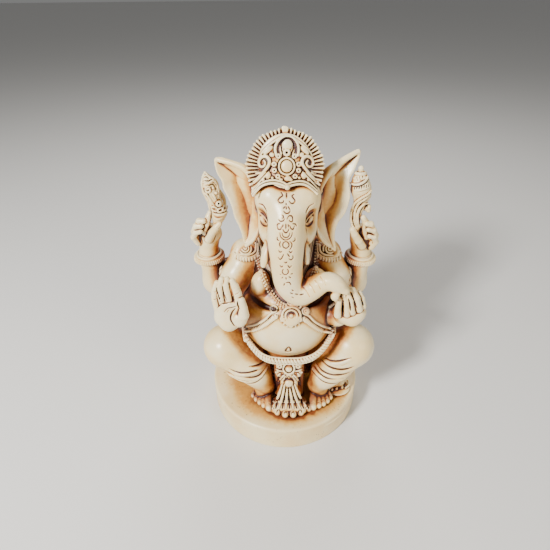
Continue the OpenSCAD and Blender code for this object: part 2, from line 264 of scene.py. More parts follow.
class Clay:
    """A block of space with the distance to the sculpted surface at each of its points, in mm."""

    def __init__(self, low, high, step):
        self.step = step * COARSE
        self.low = np.array(low, float)
        counts = np.ceil((np.array(high, float) - self.low) / self.step).astype(int) + 1
        self.axes = [(self.low[i] + self.step * np.arange(counts[i])).astype(np.float32)
                     for i in range(3)]
        self.depth = np.full(tuple(counts), FAR, np.float32)

    def window(self, low, high):
        """The part of the block between two corners, and the coordinates of its points."""
        cut = []
        for i in range(3):
            size = len(self.axes[i])
            first = min(max(0, int(math.floor((low[i] - self.low[i]) / self.step))), size)
            last = min(max(first, int(math.ceil((high[i] - self.low[i]) / self.step)) + 1), size)
            cut.append(slice(first, last))
        x = self.axes[0][cut[0]][:, None, None]
        y = self.axes[1][cut[1]][None, :, None]
        z = self.axes[2][cut[2]][None, None, :]
        return tuple(cut), (x, y, z)

    def work(self, depth, forms, blend, join, margin):
        """Joins forms to a field of depths, one after another."""
        for form in forms:
            cut, at = self.window(form.low - margin, form.high + margin)
            if depth[cut].size:
                depth[cut] = join(depth[cut], form.distance(*at), blend)
        return depth

    def add(self, *forms, blend=0.0):
        self.work(self.depth, forms, blend, meet, max(blend, MARGIN))

    def cut(self, *forms, blend=0.0):
        self.work(self.depth, forms, blend, bare, max(blend, MARGIN))

    def field(self, forms, blend):
        """The distance to a group of forms, alone, over the whole block."""
        whole = np.full(self.depth.shape, FAR * 3, np.float32)
        return self.work(whole, forms, blend, meet, max(blend, FAR) + FAR)

    def share(self, others, own_blend, blend, lap=0.35):
        """Blends the clay into a neighbour's forms, and keeps only this piece's side of the seam."""
        theirs = self.field(others, own_blend)
        both = meet(self.depth, theirs, blend)
        self.depth = np.maximum(both, (self.depth - theirs) * 0.5 - lap)

    def clip_below(self, z):
        self.depth = np.maximum(self.depth, z - self.axes[2][None, None, :])

    def sample(self, points, field=None):
        """The field at any points, between the grid's own."""
        field = self.depth if field is None else field
        return between_cells(field, (np.asarray(points) - self.low) / self.step)

    def strand_field(self, points, margin=1.2):
        """The part of the block round a strand, and the distance to the strand there."""
        p = np.array(points, float)
        reach = p[:, 3].max() + margin
        cut, at = self.window(p[:, :3].min(0) - reach, p[:, :3].max(0) + reach)
        near = np.full(self.depth[cut].shape, FAR, np.float32)
        if near.size:
            for a, b in zip(p[:-1], p[1:]):
                form = rod(a[:3], b[:3], a[3], b[3])
                part, _ = self.window(form.low - margin, form.high + margin)
                part = [slice(max(s.start, c.start), min(s.stop, c.stop)) for s, c in zip(part, cut)]
                inside = tuple(slice(s.start - c.start, max(s.start, s.stop) - c.start)
                               for s, c in zip(part, cut))
                if near[inside].size:
                    x, y, z = (axis[s] for axis, s in zip(self.axes, part))
                    distance = form.distance(x[:, None, None], y[None, :, None], z)
                    near[inside] = np.minimum(near[inside], distance)
        return cut, near

    def ridge(self, points, blend=0.3):
        """Lays a strand on the clay. Each point is (x, y, z, radius)."""
        cut, near = self.strand_field(points)
        self.depth[cut] = meet(self.depth[cut], near, blend)

    def groove(self, points, blend=0.25):
        """Cuts a strand out of the clay. Each point is (x, y, z, radius)."""
        cut, near = self.strand_field(points)
        self.depth[cut] = bare(self.depth[cut], near, blend)


def stand_at(centre, lean, points):
    """Places (across, up, outward, ...) seen from the sculptor's eye on a plane.

    The plane goes through centre and leans back by lean degrees.
    """
    c = np.array(centre, float)
    n = np.array([0.0, -math.cos(math.radians(lean)), math.sin(math.radians(lean))])
    out = []
    for across, up, outward, *rest in points:
        ray = c + across * RIGHT + up * UP - EYE
        t = ((c + outward * n - EYE) @ n) / (ray @ n)
        out.append((*(EYE + ray * t), *rest))
    return out


class Drawing:
    """Lines drawn in mm across and up from a centre, as the sculptor sees it, and laid on the clay."""

    def __init__(self, clay, centre, skin=None):
        self.clay = clay
        self.centre = np.array(centre, float)
        self.skin = clay.depth.copy() if skin is None else skin
        self.shift = (0.0, 0.0)
        self.scale = 1.0

    def place(self, line):
        """Where each point of a drawn line meets the clay's skin, and the sight line to it."""
        flat = np.array(line, float) * self.scale + self.shift
        start = self.centre + flat[:, :1] * RIGHT + flat[:, 1:2] * UP
        ray = start - EYE
        ray /= np.linalg.norm(ray, axis=1)[:, None]
        steps = np.arange(SEARCH_FROM, SEARCH_TO, SEARCH_STEP)
        along = start[:, None, :] + ray[:, None, :] * steps[None, :, None]
        values = self.clay.sample(along, self.skin)
        low = self.clay.low
        high = low + self.clay.step * (np.array(self.clay.depth.shape) - 1)
        inside = ((along > low) & (along < high)).all(-1)
        solid = (values < 0) & inside
        first = np.clip(solid.argmax(1), 1, None)
        rows = np.arange(len(flat))
        before = values[rows, first - 1]
        after = values[rows, first]
        t = before / np.maximum(before - after, 1e-4)
        reach = steps[first - 1] + SEARCH_STEP * np.clip(t, 0, 1)
        found = solid.any(1)
        if found.any():
            reach = np.where(found, reach, np.interp(rows, rows[found], reach[found]))
        return start + ray * reach[:, None], ray

    def line(self, line, radius, rise, taper=0.0, step=0.6):
        """A drawn line as a strand on the clay, thinner by a share of taper towards its ends."""
        flat = smooth(line, step)
        at, ray = self.place(flat[:, :2])
        r = np.full(len(at), float(radius))
        if taper:
            t = np.linspace(0, 1, len(at))
            r = r * (1 - taper * np.clip(np.abs(2 * t - 1) * 1.6 - 0.6, 0, 1))
        at = at - ray * np.where(rise > 0, rise - (radius - r) * 0.8, rise)[:, None]
        return np.column_stack([at, r])

    def raise_line(self, line, radius=0.7, rise=0.2, blend=0.3, taper=0.0):
        self.clay.ridge(self.line(line, radius, rise, taper), blend)

    def cut_line(self, line, radius=0.45, depth=0.5, blend=0.2, taper=0.5):
        self.clay.groove(self.line(line, radius, radius - depth, taper), blend)

    def bead(self, across, up, radius=1.0, rise=0.3, blend=0.3):
        at, ray = self.place([(across, up)])
        self.clay.add(ball(at[0] - ray[0] * rise, radius), blend=blend)

    def hole(self, across, up, radius=0.5, depth=0.9):
        at, ray = self.place([(across, up)])
        self.clay.cut(rod(at[0] - ray[0] * 2, at[0] + ray[0] * (depth - radius), radius, radius),
                      blend=0.2)

    def pad(self, across, up, wide, tall, high=1.0, turn=0, blend=0.4):
        """A low smooth boss, wide by tall across the view."""
        at, ray = self.place([(across, up)])
        side = RIGHT * math.cos(math.radians(turn)) + UP * math.sin(math.radians(turn))
        self.clay.add(facing_egg(at[0], ray[0], side, wide, tall, high), blend=blend)


def facing_egg(centre, ray, side, wide, tall, deep):
    """An egg with its three axes along side, across it, and along the ray."""
    n = ray / np.linalg.norm(ray)
    s = side - n * (side @ n)
    s /= np.linalg.norm(s)
    t = np.cross(n, s)
    m = np.array([s, t, n])
    r = np.array([wide, tall, deep], float)
    c = np.array(centre, float)
    return Form(c - r.max(), c + r.max(), lambda x, y, z: egg_distance(on_axes(m, c, x, y, z), r))


# ---- the masses of the figure, which neighbouring pieces blend into ----

# Centres of the drawings: the cloth between the feet, and the medallion with its swags.
CLOTH = (3, -52, 60)
MEDALLION = (3, -58, 153)

CHEST = [
    egg((3, 8, 68), (44, 36, 42)),
    egg((2.5, -12, 133), (46, 47, 48)),
    egg((1, 4, 168), (40, 30, 36)),
    egg((1, 16, 150), (40, 29, 52)),
    rod((-36, -1, 186), (37, -1, 186), 14, 14),
    egg((1, 3, 206), (24, 22, 24)),
    egg((-20, 16, 52), (27, 25, 23)),
    egg((26, 16, 52), (27, 25, 23)),
]
BREASTS = [egg((-21.5, -33.5, 176), (8, 8.5, 12.5), (0, 14, 0)),
           egg((27, -31, 177), (10, 9, 13), (0, -12, 0))]
HEAD = [
    egg((2, -12, 246), (26, 31, 31)),
    egg((2, -24, 226), (20, 19, 18)),
    egg((-9, -33, 256), (14, 14, 15)),
    egg((12, -33, 256), (14, 14, 15)),
    egg((-11, -33, 231), (9, 11, 15)),
    egg((14, -33, 231), (9, 11, 15)),
]
TRUNK_LINE = smooth([
    (0.5, -34, 254, 11), (0.5, -41, 246, 12.6), (0.5, -47, 234, 12.4), (0.8, -50.5, 219, 11.2),
    (1.5, -52, 203, 10.2), (3.6, -53, 190, 9.6), (11, -54, 182, 8.6), (20, -55, 186, 7.4),
    (29, -57, 195, 6.2), (36.5, -59.5, 198, 5.3), (43, -61.5, 194.5, 4.7)], 3)
TRUNK = rods(TRUNK_LINE)
SOCKETS = [egg((-20, -44, 240), (6.5, 9, 11.5), (0, 10, 0)),
           egg((22, -44, 240), (6.5, 9, 11.5), (0, -10, 0))]


def side_arm(side):
    """The front arm's masses: -1 is the figure's right arm, and 1 its left."""
    return [
        rod((side * 34, -5, 186), (side * 44, -13, 171), 13.5, 12.5),
        rod((side * 44, -13, 171), (side * 50, -13, 148), 12.5, 10.5),
        rod((side * 50, -12, 148), (side * 47, -38, 143), 10.5, 9.2),
    ]


def rear_arm_forms(side):
    """The raised rear arm's masses. The left one stands a little closer in."""
    x = 1 if side < 0 else 0.975
    return [
        rod((side * 34, 8, 172), (side * 66 * x, 6, 150), 14, 12.5),
        rod((side * 66 * x, 6, 150), (side * 70 * x, 0, 184), 12.5, 9.6),
    ]


def leg_forms(side):
    """The masses of a bent leg, from the hip out to the knee and in to the ankle."""
    if side < 0:
        knee, shin, hem, ankle = (-58, -28, 94), (-37, -37, 78), (-28, -38, 67), (-20, -38, 50)
    else:
        knee, shin, hem, ankle = (65, -28, 97), (50, -37, 80), (41, -38, 67), (34, -37, 50)
    return [
        rod((side * 26, 4, 60), knee, 26, 19),
        egg(knee, (19.5, 20, 18)),
        rod(knee, shin, 18.5, 15.5),
        rod(shin, hem, 15.5, 13.5),
        rod(hem, ankle, 12.5, 10.6),
    ]


def body_skin(clay):
    """The chest and belly with the drooping breasts and the fold below them."""
    body = Clay(clay.low, clay.low + clay.step, clay.step / COARSE)
    body.axes = clay.axes
    body.depth = clay.field(CHEST, 9)
    body.add(*BREASTS, blend=5)
    body.cut(ring((1, -6, 163), 41, 2.2, (8, 0, 0)), blend=5)
    return body.depth


# ---- pieces of the plinth and body ----

def torso_clay():
    clay = Clay((-58, -64, STAND - 1), (62, 56, 236), 0.62)
    clay.depth = body_skin(clay)
    for side in (-1, 1):
        clay.share(side_arm(side), 7, 4)
    # the navel is a small three-cornered cut
    draw = Drawing(clay, (3, -58, 112))
    draw.cut_line([(-2.2, 4.5), (2.6, 4.7), (0.7, 8.2), (-2.2, 4.5)], 0.9, 1.4, 0.2, 0)
    clay.clip_below(STAND)
    return clay


def leg_clay(side):
    low, high = ((-80, -57, 30), (-2, 32, 118)) if side < 0 else ((4, -57, 30), (88, 32, 121))
    clay = Clay(low, high, 0.7)
    clay.depth = clay.field(leg_forms(side), 8)
    draw = Drawing(clay, CLOTH)
    # folds of the dhoti, pulled tight towards the middle, and its hem over the shin
    if side < 0:
        folds = [
            [(-61, 21), (-52, 16.5), (-44, 15), (-34, 16.5), (-25, 21.5), (-18.6, 28.5)],
            [(-60, 17.5), (-49, 12.4), (-36, 10.6), (-27, 13.6), (-20.4, 22), (-17.6, 27)],
            [(-38, 21.5), (-30, 22.6), (-22, 26.5), (-17.5, 31)],
        ]
        hem = [(-58, 13), (-46, 7.6), (-36, 6.4), (-28.6, 9.6), (-22.6, 17), (-19, 24)]
    else:
        folds = [
            [(68, 22), (58, 19), (50, 18.6), (41, 21.4), (33.6, 28)],
            [(62, 15.6), (54, 13.4), (44, 13.2), (34.4, 17.4), (28.4, 25)],
            [(54, 10.6), (46, 9.4), (38.6, 10.4), (31, 15.6), (25.4, 22.6)],
            [(63, 30), (52, 27), (44, 27), (37, 30)],
        ]
        hem = [(57, 9.4), (47, 6.2), (38, 7.4), (30.4, 12.4), (24.6, 19)]
    for fold in folds:
        draw.cut_line(fold, 0.85, 1.2, 0.5, 0.7)
        draw.raise_line([(a, b - 2.2) for a, b in fold], 1.5, -0.35, 1.4, 0.6)
    draw.raise_line(hem, 1.3, -0.1, 0.8, 0.4)
    draw.cut_line([(a, b - 2.0) for a, b in hem], 0.9, 1.1, 0.4, 0.4)
    clay.clip_below(STAND + 0.4)
    return clay


def foot_clay(side):
    if side < 0:
        ankle, instep, ball_of_foot = (-20, -37, 50), (-21.5, -37, 43), (-23.5, -40, 37)
        tips = [(-15.6, -56.4, 35.6, 3.8), (-20.8, -53.4, 35.2, 3.0), (-25, -50, 35, 2.9),
                (-29, -46, 34.8, 2.8), (-32.4, -41.6, 34.6, 2.5)]
        roots = [(-18, -40, 39), (-21, -38.5, 38.5), (-23.4, -36.8, 38), (-25.8, -35, 37.6), (-28, -32.6, 37)]
    else:
        ankle, instep, ball_of_foot = (34, -36, 50), (35.5, -35.5, 43), (36.5, -38, 37)
        tips = [(29.2, -54.6, 35.6, 3.8), (35, -53, 35.4, 3.0), (39.8, -50.4, 35, 2.9),
                (44, -46.8, 34.8, 2.8), (47.6, -42.4, 34.6, 2.5)]
        roots = [(30.5, -39.5, 39), (34.5, -38.5, 38.6), (37.6, -36.6, 38), (40, -33.8, 37.6),
                 (42, -30.6, 37)]
    middle = ball_of_foot[0]
    clay = Clay((middle - 22, -66, 28), (middle + 22, -16, 62), 0.4)
    clay.add(rod(ankle, instep, 10.6, 9.6))
    clay.add(rod(instep, ball_of_foot, 9.6, 6.4), blend=4)
    for (x, y, z, r), root in zip(tips, roots):
        clay.add(rod(root, (x, y, z), r * 1.15, r * 1.0), blend=1.0)
        clay.add(egg((x, y - 0.6, z), (r * 0.96, r * 1.15, r * 0.92)), blend=0.8)
    # the root of each nail
    for x, y, z, r in tips:
        nail = [(x - r * 0.62, y - r * 0.25, z + r * 0.62, 0.3), (x, y + r * 0.35, z + r * 1.0, 0.3),
                (x + r * 0.62, y - r * 0.25, z + r * 0.62, 0.3)]
        clay.groove(smooth(nail, 0.5), 0.15)
    clay.clip_below(STAND - 1.5)
    return clay


# How far below its own top the middle of the footing's swelling lies, in mm.
SUNK = 12


def footing_clay():
    """The low swelling of the plinth's top that the feet and the cloth stand on."""
    clay = Clay((-56, -76, 17), (72, 60, 34.5), 0.8)
    for x, y, wide, deep in ((8, -26, 62, 50), (2, 8, 62, 56)):
        clay.add(egg((x, y, STAND - SUNK), (wide, deep, SUNK + 0.2)), blend=3)
    clay.clip_below(20)
    return clay


def plinth_clay():
    """A round plinth, cast a little out of true, with a small bevel round its top."""
    clay = Clay((-82, -82, -1), (82, 82, 31), 1.0)
    x, y, z = clay.axes[0][:, None, None], clay.axes[1][None, :, None], clay.axes[2][None, None, :]
    around_z = np.arctan2(y, x)
    wave = 0.25 * np.sin(3 * around_z + 1) + 0.2 * np.sin(7 * around_z)
    side = np.sqrt(x * x + y * y) - (PLINTH_R - 0.4) - wave * 0.5
    lid = np.abs(z - PLINTH_TOP / 2) - PLINTH_TOP / 2 + 0.05
    bevel = (side + (z - PLINTH_TOP)) / math.sqrt(2) + 1.0
    body = np.maximum(np.maximum(side, lid), -FAR)
    clay.depth = np.maximum(body, bevel).astype(np.float32)
    return clay


def cloth_clay():
    clay = Clay((-26, -76, 28), (38, -34, 94), 0.36)
    clay.add(slab((4, -46, 82), (12.5, 4.5, 7.5), (-20, 0, 0), 3))
    clay.add(slab((4.4, -46, 64), (8.6, 6, 18), (-10, 0, 0), 3), blend=5)
    clay.add(slab((4.6, -50, 44), (11, 8, 10), (-16, 0, 0), 3), blend=6)
    clay.add(slab((4.6, -54.5, 35.0), (17.5, 7.6, 4.4), (-14, 0, 0), 3), blend=6)
    clay.add(slab((4.4, -34, 58), (15, 6, 26), (0, 0, 0), 3), blend=3)
    draw = Drawing(clay, CLOTH)
    # pleats fan out from under the diamond to the floor, with a band across and a curled hem
    tops = [-5.4, -2.8, -0.4, 2.2, 4.6, 7.2]
    feet = [-14.8, -8.6, -1.6, 5.6, 12.6, 19.6]
    for top, foot in zip(tops, feet):
        line = [(top, 3.5 if abs(top - 1) > 2 else -1), ((top * 0.62 + foot * 0.38), -8), (foot, -20.5)]
        draw.raise_line(line, 1.35, 0.9, 0.2, 0.35)
        draw.cut_line([(a + 0.1, b) for a, b in line[1:]], 0.3, -0.9, 0.2, 0.5)
    for a, b in zip(zip(tops, feet), zip(tops[1:], feet[1:])):
        top, foot = (a[0] + b[0]) / 2, (a[1] + b[1]) / 2
        draw.cut_line([(top, 1), (top * 0.62 + foot * 0.38, -8), (foot, -20)], 0.85, 1.3, 0.2, 0.2)
    for foot in feet:
        a = foot * 0.84
        lift = -14.4 + abs(a - 2) * 0.06
        draw.raise_line([(a - 1.8, lift), (a, -14.9), (a + 1.8, lift)], 0.55, 2.2, 0.2)
        draw.raise_line([(a - 1.8, -12.9), (a, -13.4), (a + 1.8, -12.9)], 0.45, 2.1, 0.2)
        curl = (foot * 1.06 + 2.6, -62.4 + 0.024 * (foot - 2) ** 2, 34)
        clay.add(egg(curl, (4.0, 5.2, 3.9), (0, 0, foot * 1.5)), blend=1.0)
    draw.skin = clay.depth.copy()
    for foot in feet:
        drop = 0.018 * (foot - 2.4) ** 2
        draw.cut_line([(foot - 2.2, -27.4 + drop), (foot - 1.4, -24.6 + drop), (foot + 0.6, -24 + drop),
                       (foot + 1.6, -26.4 + drop)], 0.5, 0.65, 0.2, 0.3)
    # the diamond
    d = (1.3, 6)
    corners = [(d[0], d[1] + 5.6), (d[0] + 4.9, d[1]), (d[0], d[1] - 5.6), (d[0] - 4.9, d[1]),
               (d[0], d[1] + 5.6)]
    for a, b in zip(corners[:-1], corners[1:]):
        draw.cut_line([a, b], 0.5, 0.6, 0.2, 0)
    draw.pad(d[0], d[1], 4.3, 4.8, 2.7)
    # tassels either side of it, and the scrolls of the clasp's mount
    for s in (-1, 1):
        for tassel in ([(4.4, 13), (8.4, 9.4)], [(6.8, 10.6), (10.2, 6.4)],
                       [(8.6, 14.4), (11, 12)], [(3.6, 11.6), (6.4, 7.4)]):
            draw.raise_line(sided(tassel, s, 1.3), 1.0, 1.1, 0.2, 0.3)
        draw.raise_line(spiral(1.3 + s * 9.4, 21.6, 2.8, 0.7, 90 - s * 60, s * 1.25), 0.85, 1.1, 0.2)
        draw.raise_line(sided([(5.6, 16.6), (9.6, 17.2), (13, 19)], s, 1.3), 0.9, 0.9, 0.2, 0.4)
        draw.bead(1.3 + s * 12.6, 15.6, 1.1, 0.5)
    clay.clip_below(STAND - 1)
    return clay


def clasp_clay():
    """A round boss in a ring, set on the top of the cloth."""
    clay = Clay((-8, -64, 72), (17, -38, 96), 0.33)
    clay.add(slab((4.3, -47, 83.4), (5.4, 4.2, 5.4), (-26, 0, 0), 2))
    draw = Drawing(clay, CLOTH)
    draw.raise_line(oval(1.3, 19.3, 5.4), 1.0, 1.0, 0.3)
    draw.cut_line(oval(1.3, 19.3, 4.1), 0.55, 0.5, 0.2, 0)
    draw.pad(1.3, 19.3, 3.4, 3.4, 2.4)
    return clay


def twisted(path, radius, strand, turns, strands=2):
    """The strands of a rope, wound round a path."""
    step = directions(path)
    side = np.cross(step, np.array([0.0, 0.3, 1.0]))
    side /= np.linalg.norm(side, axis=1)[:, None]
    other = np.cross(step, side)
    t = np.linspace(0, 1, len(path))[:, None]
    out = []
    for k in range(strands):
        a = 2 * math.pi * (turns * t + k / strands)
        p = path + radius * (side * np.cos(a) + other * np.sin(a))
        out.append(np.column_stack([p, np.full(len(p), strand)]))
    return out


def belt_clay():
    """A thick plaited rope in the crease under the belly, thinner round the hips to the back."""
    clay = Clay((-58, -66, 82), (62, 50, 136), 0.44)
    draw = Drawing(clay, CLOTH, body_skin(clay))
    front = smooth([(-41.1, 51), (-34.4, 41), (-26.7, 33.2), (-17.8, 29), (-6.7, 27.6), (2.2, 27.4),
                    (13.3, 27.9), (24.4, 31), (33.3, 37.6), (40, 46.4), (45, 55)], 2.0)
    at, ray = draw.place(front[:, :2])
    at = at + ray * 0.2 + [0, 0, -0.8]
    first, last = at[0], at[-1]
    back = []
    for i in range(1, 24):
        t = i / 24
        a = math.radians(66 + 228 * t)
        height = (last[2] * (1 - t) + first[2] * t) + 3 * math.sin(math.pi * t)
        back.append((2 + 46 * math.sin(a), 4 - 42 * math.cos(a), height))
    path = smooth(np.vstack([at, np.array(back), at[:1]]), 0.6)
    clay.ridge(np.column_stack([path, np.full(len(path), 1.8)]), 0)
    for line in twisted(path, 1.6, 1.25, 56):
        clay.ridge(line, 0.1)
    # a thin cord above and below the rope
    for offset in ((0, -1.2, -3.0), (0, 0.4, 3.2)):
        thin = smooth(at + offset, 1.0)
        clay.ridge(np.column_stack([thin, np.full(len(thin), 0.7)]), 0.2)
    return clay


# ---- head, trunk and ears ----

FACE = (1, -60, 225)


def face_lines(draw):
    """The floral line engraved from the brow down the trunk."""
    strokes = [
        [(-3.9, 44.4), (-2.9, 42.2), (-5, 40.4), (-6.2, 38.4), (-4.8, 36.7), (-2.6, 37), (-2.2, 38.6)],
        [(5.4, 43), (4, 41.8), (5.1, 40), (6.2, 38), (5, 36.4), (3.2, 36.4), (2, 38)],
        [(0, 44), (0, 40)], [(-0.3, 36.4), (-0.3, 35)],
        [(-2.5, 32.5), (-1, 34)], [(-0.2, 34), (-0.2, 32)], [(0.9, 34.2), (2.6, 31.6)],
        [(-2.2, 30.5), (-0.5, 28.9), (1.5, 29.1), (2.8, 30.8)],
        [(-3, 27.7), (-2.2, 26), (-3.1, 25)], [(-5.9, 24), (-4.5, 22.9), (-2.5, 23.4), (-1.4, 25)],
        [(0.3, 24.5), (1.8, 27), (4, 26.8), (4.7, 24.6), (4.3, 22.9), (2.7, 22.8), (2, 24)],
        [(-7.3, 19), (-6.7, 20.9), (-5, 21.2)], [(-7, 19.5), (-6.4, 17.2), (-4.5, 17), (-3.6, 19)],
        [(7.4, 19.5), (6.6, 20.9), (4.6, 21.2)], [(6, 19.5), (5.1, 17.2), (3.4, 17.5), (2.3, 20)],
        [(-0.5, 21), (-0.5, 17.4)], [(-2.6, 20.4), (-3.1, 18.4)], [(1.2, 20.6), (1.6, 18.6)],
        [(-2.8, 17.2), (-1.9, 15.3), (-0.5, 14.4), (0.9, 15.3), (1.8, 17.2)],
        [(-5, 14.5), (-4.5, 11.6), (-2.5, 9.6), (-0.5, 9), (1.8, 9.9), (3.7, 11.8), (4.3, 14.5)],
        [(-3.4, 14.4), (-2.7, 12), (-0.5, 10.8), (1.6, 11.8), (2.6, 14.4)],
        [(-7, 11.3), (-7, 9.4), (-5.6, 8.5)], [(6.3, 10.6), (6.3, 8.8), (4.6, 7.9)],
        [(-4.5, 8), (-5.3, 6), (-4.7, 3.7)], [(2.3, 8.2), (4, 6.2), (3.7, 3.7), (2.3, 1.7)],
        [(-5.9, 1.4), (-5, 0), (-3.6, 0.6)], [(1.8, 0.8), (3.1, -0.3), (4.3, 0.8)],
        [(-6.2, -3.7), (-5, -5.4), (-3.6, -4.2), (-2.2, -1.7)], [(0.6, -1.1), (2.3, -3.4)],
        [(1.8, -4.8), (3.4, -5.6), (4.9, -4.2), (4.6, -2.5)], [(-1.6, -7.3), (-0.5, -7.9), (0.3, -7)],
        [(-5, -9.6), (-3.9, -11), (-2.8, -10)], [(0.9, -9.6), (2.3, -11.3), (3.7, -9.9)],
        [(3.2, -16.1), (4.6, -15.8)], [(1.8, -18.1), (3.2, -18.9)], [(-0.5, -18.6), (-0.3, -20)],
        [(-3.6, -19.2), (-2.8, -18.4)], [(-4.9, -16.4), (-4.3, -16.6)],
        [(-2.2, -24.6), (-1.4, -23)], [(-0.5, -22.6), (2, -22.3), (3.2, -24)],
        [(4, -27.7), (5.1, -28.5)], [(2.6, -29.9), (4.6, -30.8)], [(6.3, -30.8), (8.5, -31.1)],
        [(9.7, -31.4), (12.5, -30.8)], [(3.8, -33), (5.2, -33.8)],
    ]
    for stroke in strokes:
        draw.cut_line(stroke, 0.56, 0.68, 0.15, 0.3)
    draw.cut_line(oval(-0.5, 5.4, 2.4), 0.56, 0.68, 0.15, 0)
    draw.cut_line(oval(-0.9, -14.3, 2.3, None, 130, 410), 0.56, 0.68, 0.15, 0.3)


def eye(draw, side):
    """A long eye that slants down towards the trunk, with a folded brow and two lids."""
    def place(line):
        return sided(line, -1, -0.2) if side < 0 else line

    centre = place([(16.5, 24.4)])[0]
    draw.pad(centre[0], centre[1], 3.9, 2.2, 2.1, 52 * side, 0.6)
    upper = place([(19.6, 28.8), (17.6, 27.2), (15.4, 24.9), (13.6, 21.6)])
    lower = place([(19.4, 26.4), (18.6, 24), (16.2, 22), (13.6, 21.4)])
    fold = place([(19.6, 31.8), (17.1, 30.4), (15.2, 28), (14.1, 25), (13, 21.4)])
    brow = place([(20.2, 36), (17, 34.2), (14.9, 30.6), (13.8, 26.6), (13.1, 23)])
    under = place([(19.2, 23.6), (18.2, 21.2), (16, 19.6), (13.2, 19.8)])
    draw.raise_line([(a, b + 0.5) for a, b in upper], 0.85, 0.6, 0.3, 0.4)
    draw.raise_line(lower, 0.6, 0.45, 0.3, 0.4)
    crease = [(a, b - 0.8) for a, b in upper]
    for line, depth in ((crease, 1.2), (fold, 1.0), (under, 0.7), (brow, 0.8)):
        draw.cut_line(line, 0.6, depth, 0.3, 0.5)
    draw.cut_line([(a, b + 0.8) for a, b in lower], 0.5, 0.8, 0.2, 0.5)
    if side < 0:
        draw.cut_line([(-21.4, 34), (-20.8, 35.6), (-18, 35.4), (-16, 32.6), (-14.8, 29)], 0.5, 0.5, 0.3, 0.6)


def head_clay():
    clay = Clay((-30, -56, 200), (34, 24, 282), 0.36)
    clay.depth = clay.field(HEAD, 9)
    clay.share(TRUNK, 4, 6)
    clay.cut(*SOCKETS, blend=3.5)
    draw = Drawing(clay, FACE)
    eye(draw, -1)
    eye(draw, 1)
    face_lines(draw)
    # soft cheek folds beside the trunk
    for line in ([(-12, 18), (-13, 10), (-11.5, 3)], [(14, 17), (14.5, 9), (13, 2)]):
        draw.cut_line(line, 1.2, 0.9, 1.2, 0.7)
    return clay


def trunk_clay():
    clay = Clay((-18, -74, 166), (54, -24, 270), 0.34)
    clay.depth = clay.field(TRUNK, 4)
    # the tip opens in two soft lips
    clay.add(egg((46.5, -63, 192), (4.2, 3.6, 3.2), (0, 30, 0)), blend=2)
    clay.add(egg((39.5, -63.5, 187), (3.6, 3.6, 4.6), (0, 10, 0)), blend=2)
    clay.cut(egg((44.5, -65, 186), (2.6, 3.4, 2.4), (0, 20, 0)), blend=1.2)
    clay.share(HEAD, 9, 6)
    clay.cut(*SOCKETS, blend=3.5)
    draw = Drawing(clay, FACE)
    face_lines(draw)
    # faint rings where the trunk bends
    for u in (14, 18, 22, 26):
        draw.cut_line([(u + 3, -33 + (u - 14) * 0.7), (u - 1.5, -26 + (u - 14) * 0.7)], 1.0, 0.22, 0.8, 0.6)
    return clay


def tusk_clay(side):
    """A short tusk, with the roll of skin that it comes out of."""
    if side < 0:
        low, high = (-24, -60, 200), (-2, -30, 234)
        line = [(-10.6, -42, 224, 5.0), (-13.4, -47.4, 218.5, 4.4), (-15.6, -51, 213, 3.6),
                (-17, -53, 208.6, 2.2)]
    else:
        low, high = (2, -60, 200), (25, -28, 234)
        line = [(12, -40, 224, 4.6), (14.4, -45.4, 218.6, 3.9), (15.8, -48.8, 213.6, 3.1),
                (16.8, -50.8, 209.8, 1.8)]
    clay = Clay(low, high, 0.36)
    clay.ridge(smooth(line, 0.8), 0)
    x, y, z, r = line[1]
    clay.add(ring((x, y, z), r + 0.2, 0.75, (40, side * 18, 0)), blend=0.5)
    return clay


def outline_distance(x, z, outline):
    """Signed distance in the drawing of a closed outline, negative inside."""
    p = np.array(outline, float)
    best = np.full(np.broadcast(x, z).shape, 1e6, np.float32)
    inside = np.zeros(best.shape, bool)
    for a, b in zip(p, np.roll(p, -1, 0)):
        run = b - a
        t = np.clip(((x - a[0]) * run[0] + (z - a[1]) * run[1]) / max(run @ run, 1e-6), 0, 1)
        best = np.minimum(best, (x - a[0] - t * run[0]) ** 2 + (z - a[1] - t * run[1]) ** 2)
        crosses = (a[1] > z) != (b[1] > z)
        if abs(run[1]) > 1e-6:
            inside ^= crosses & (x < a[0] + (z - a[1]) / run[1] * run[0])
    best = np.sqrt(best)
    return np.where(inside, -best, best)


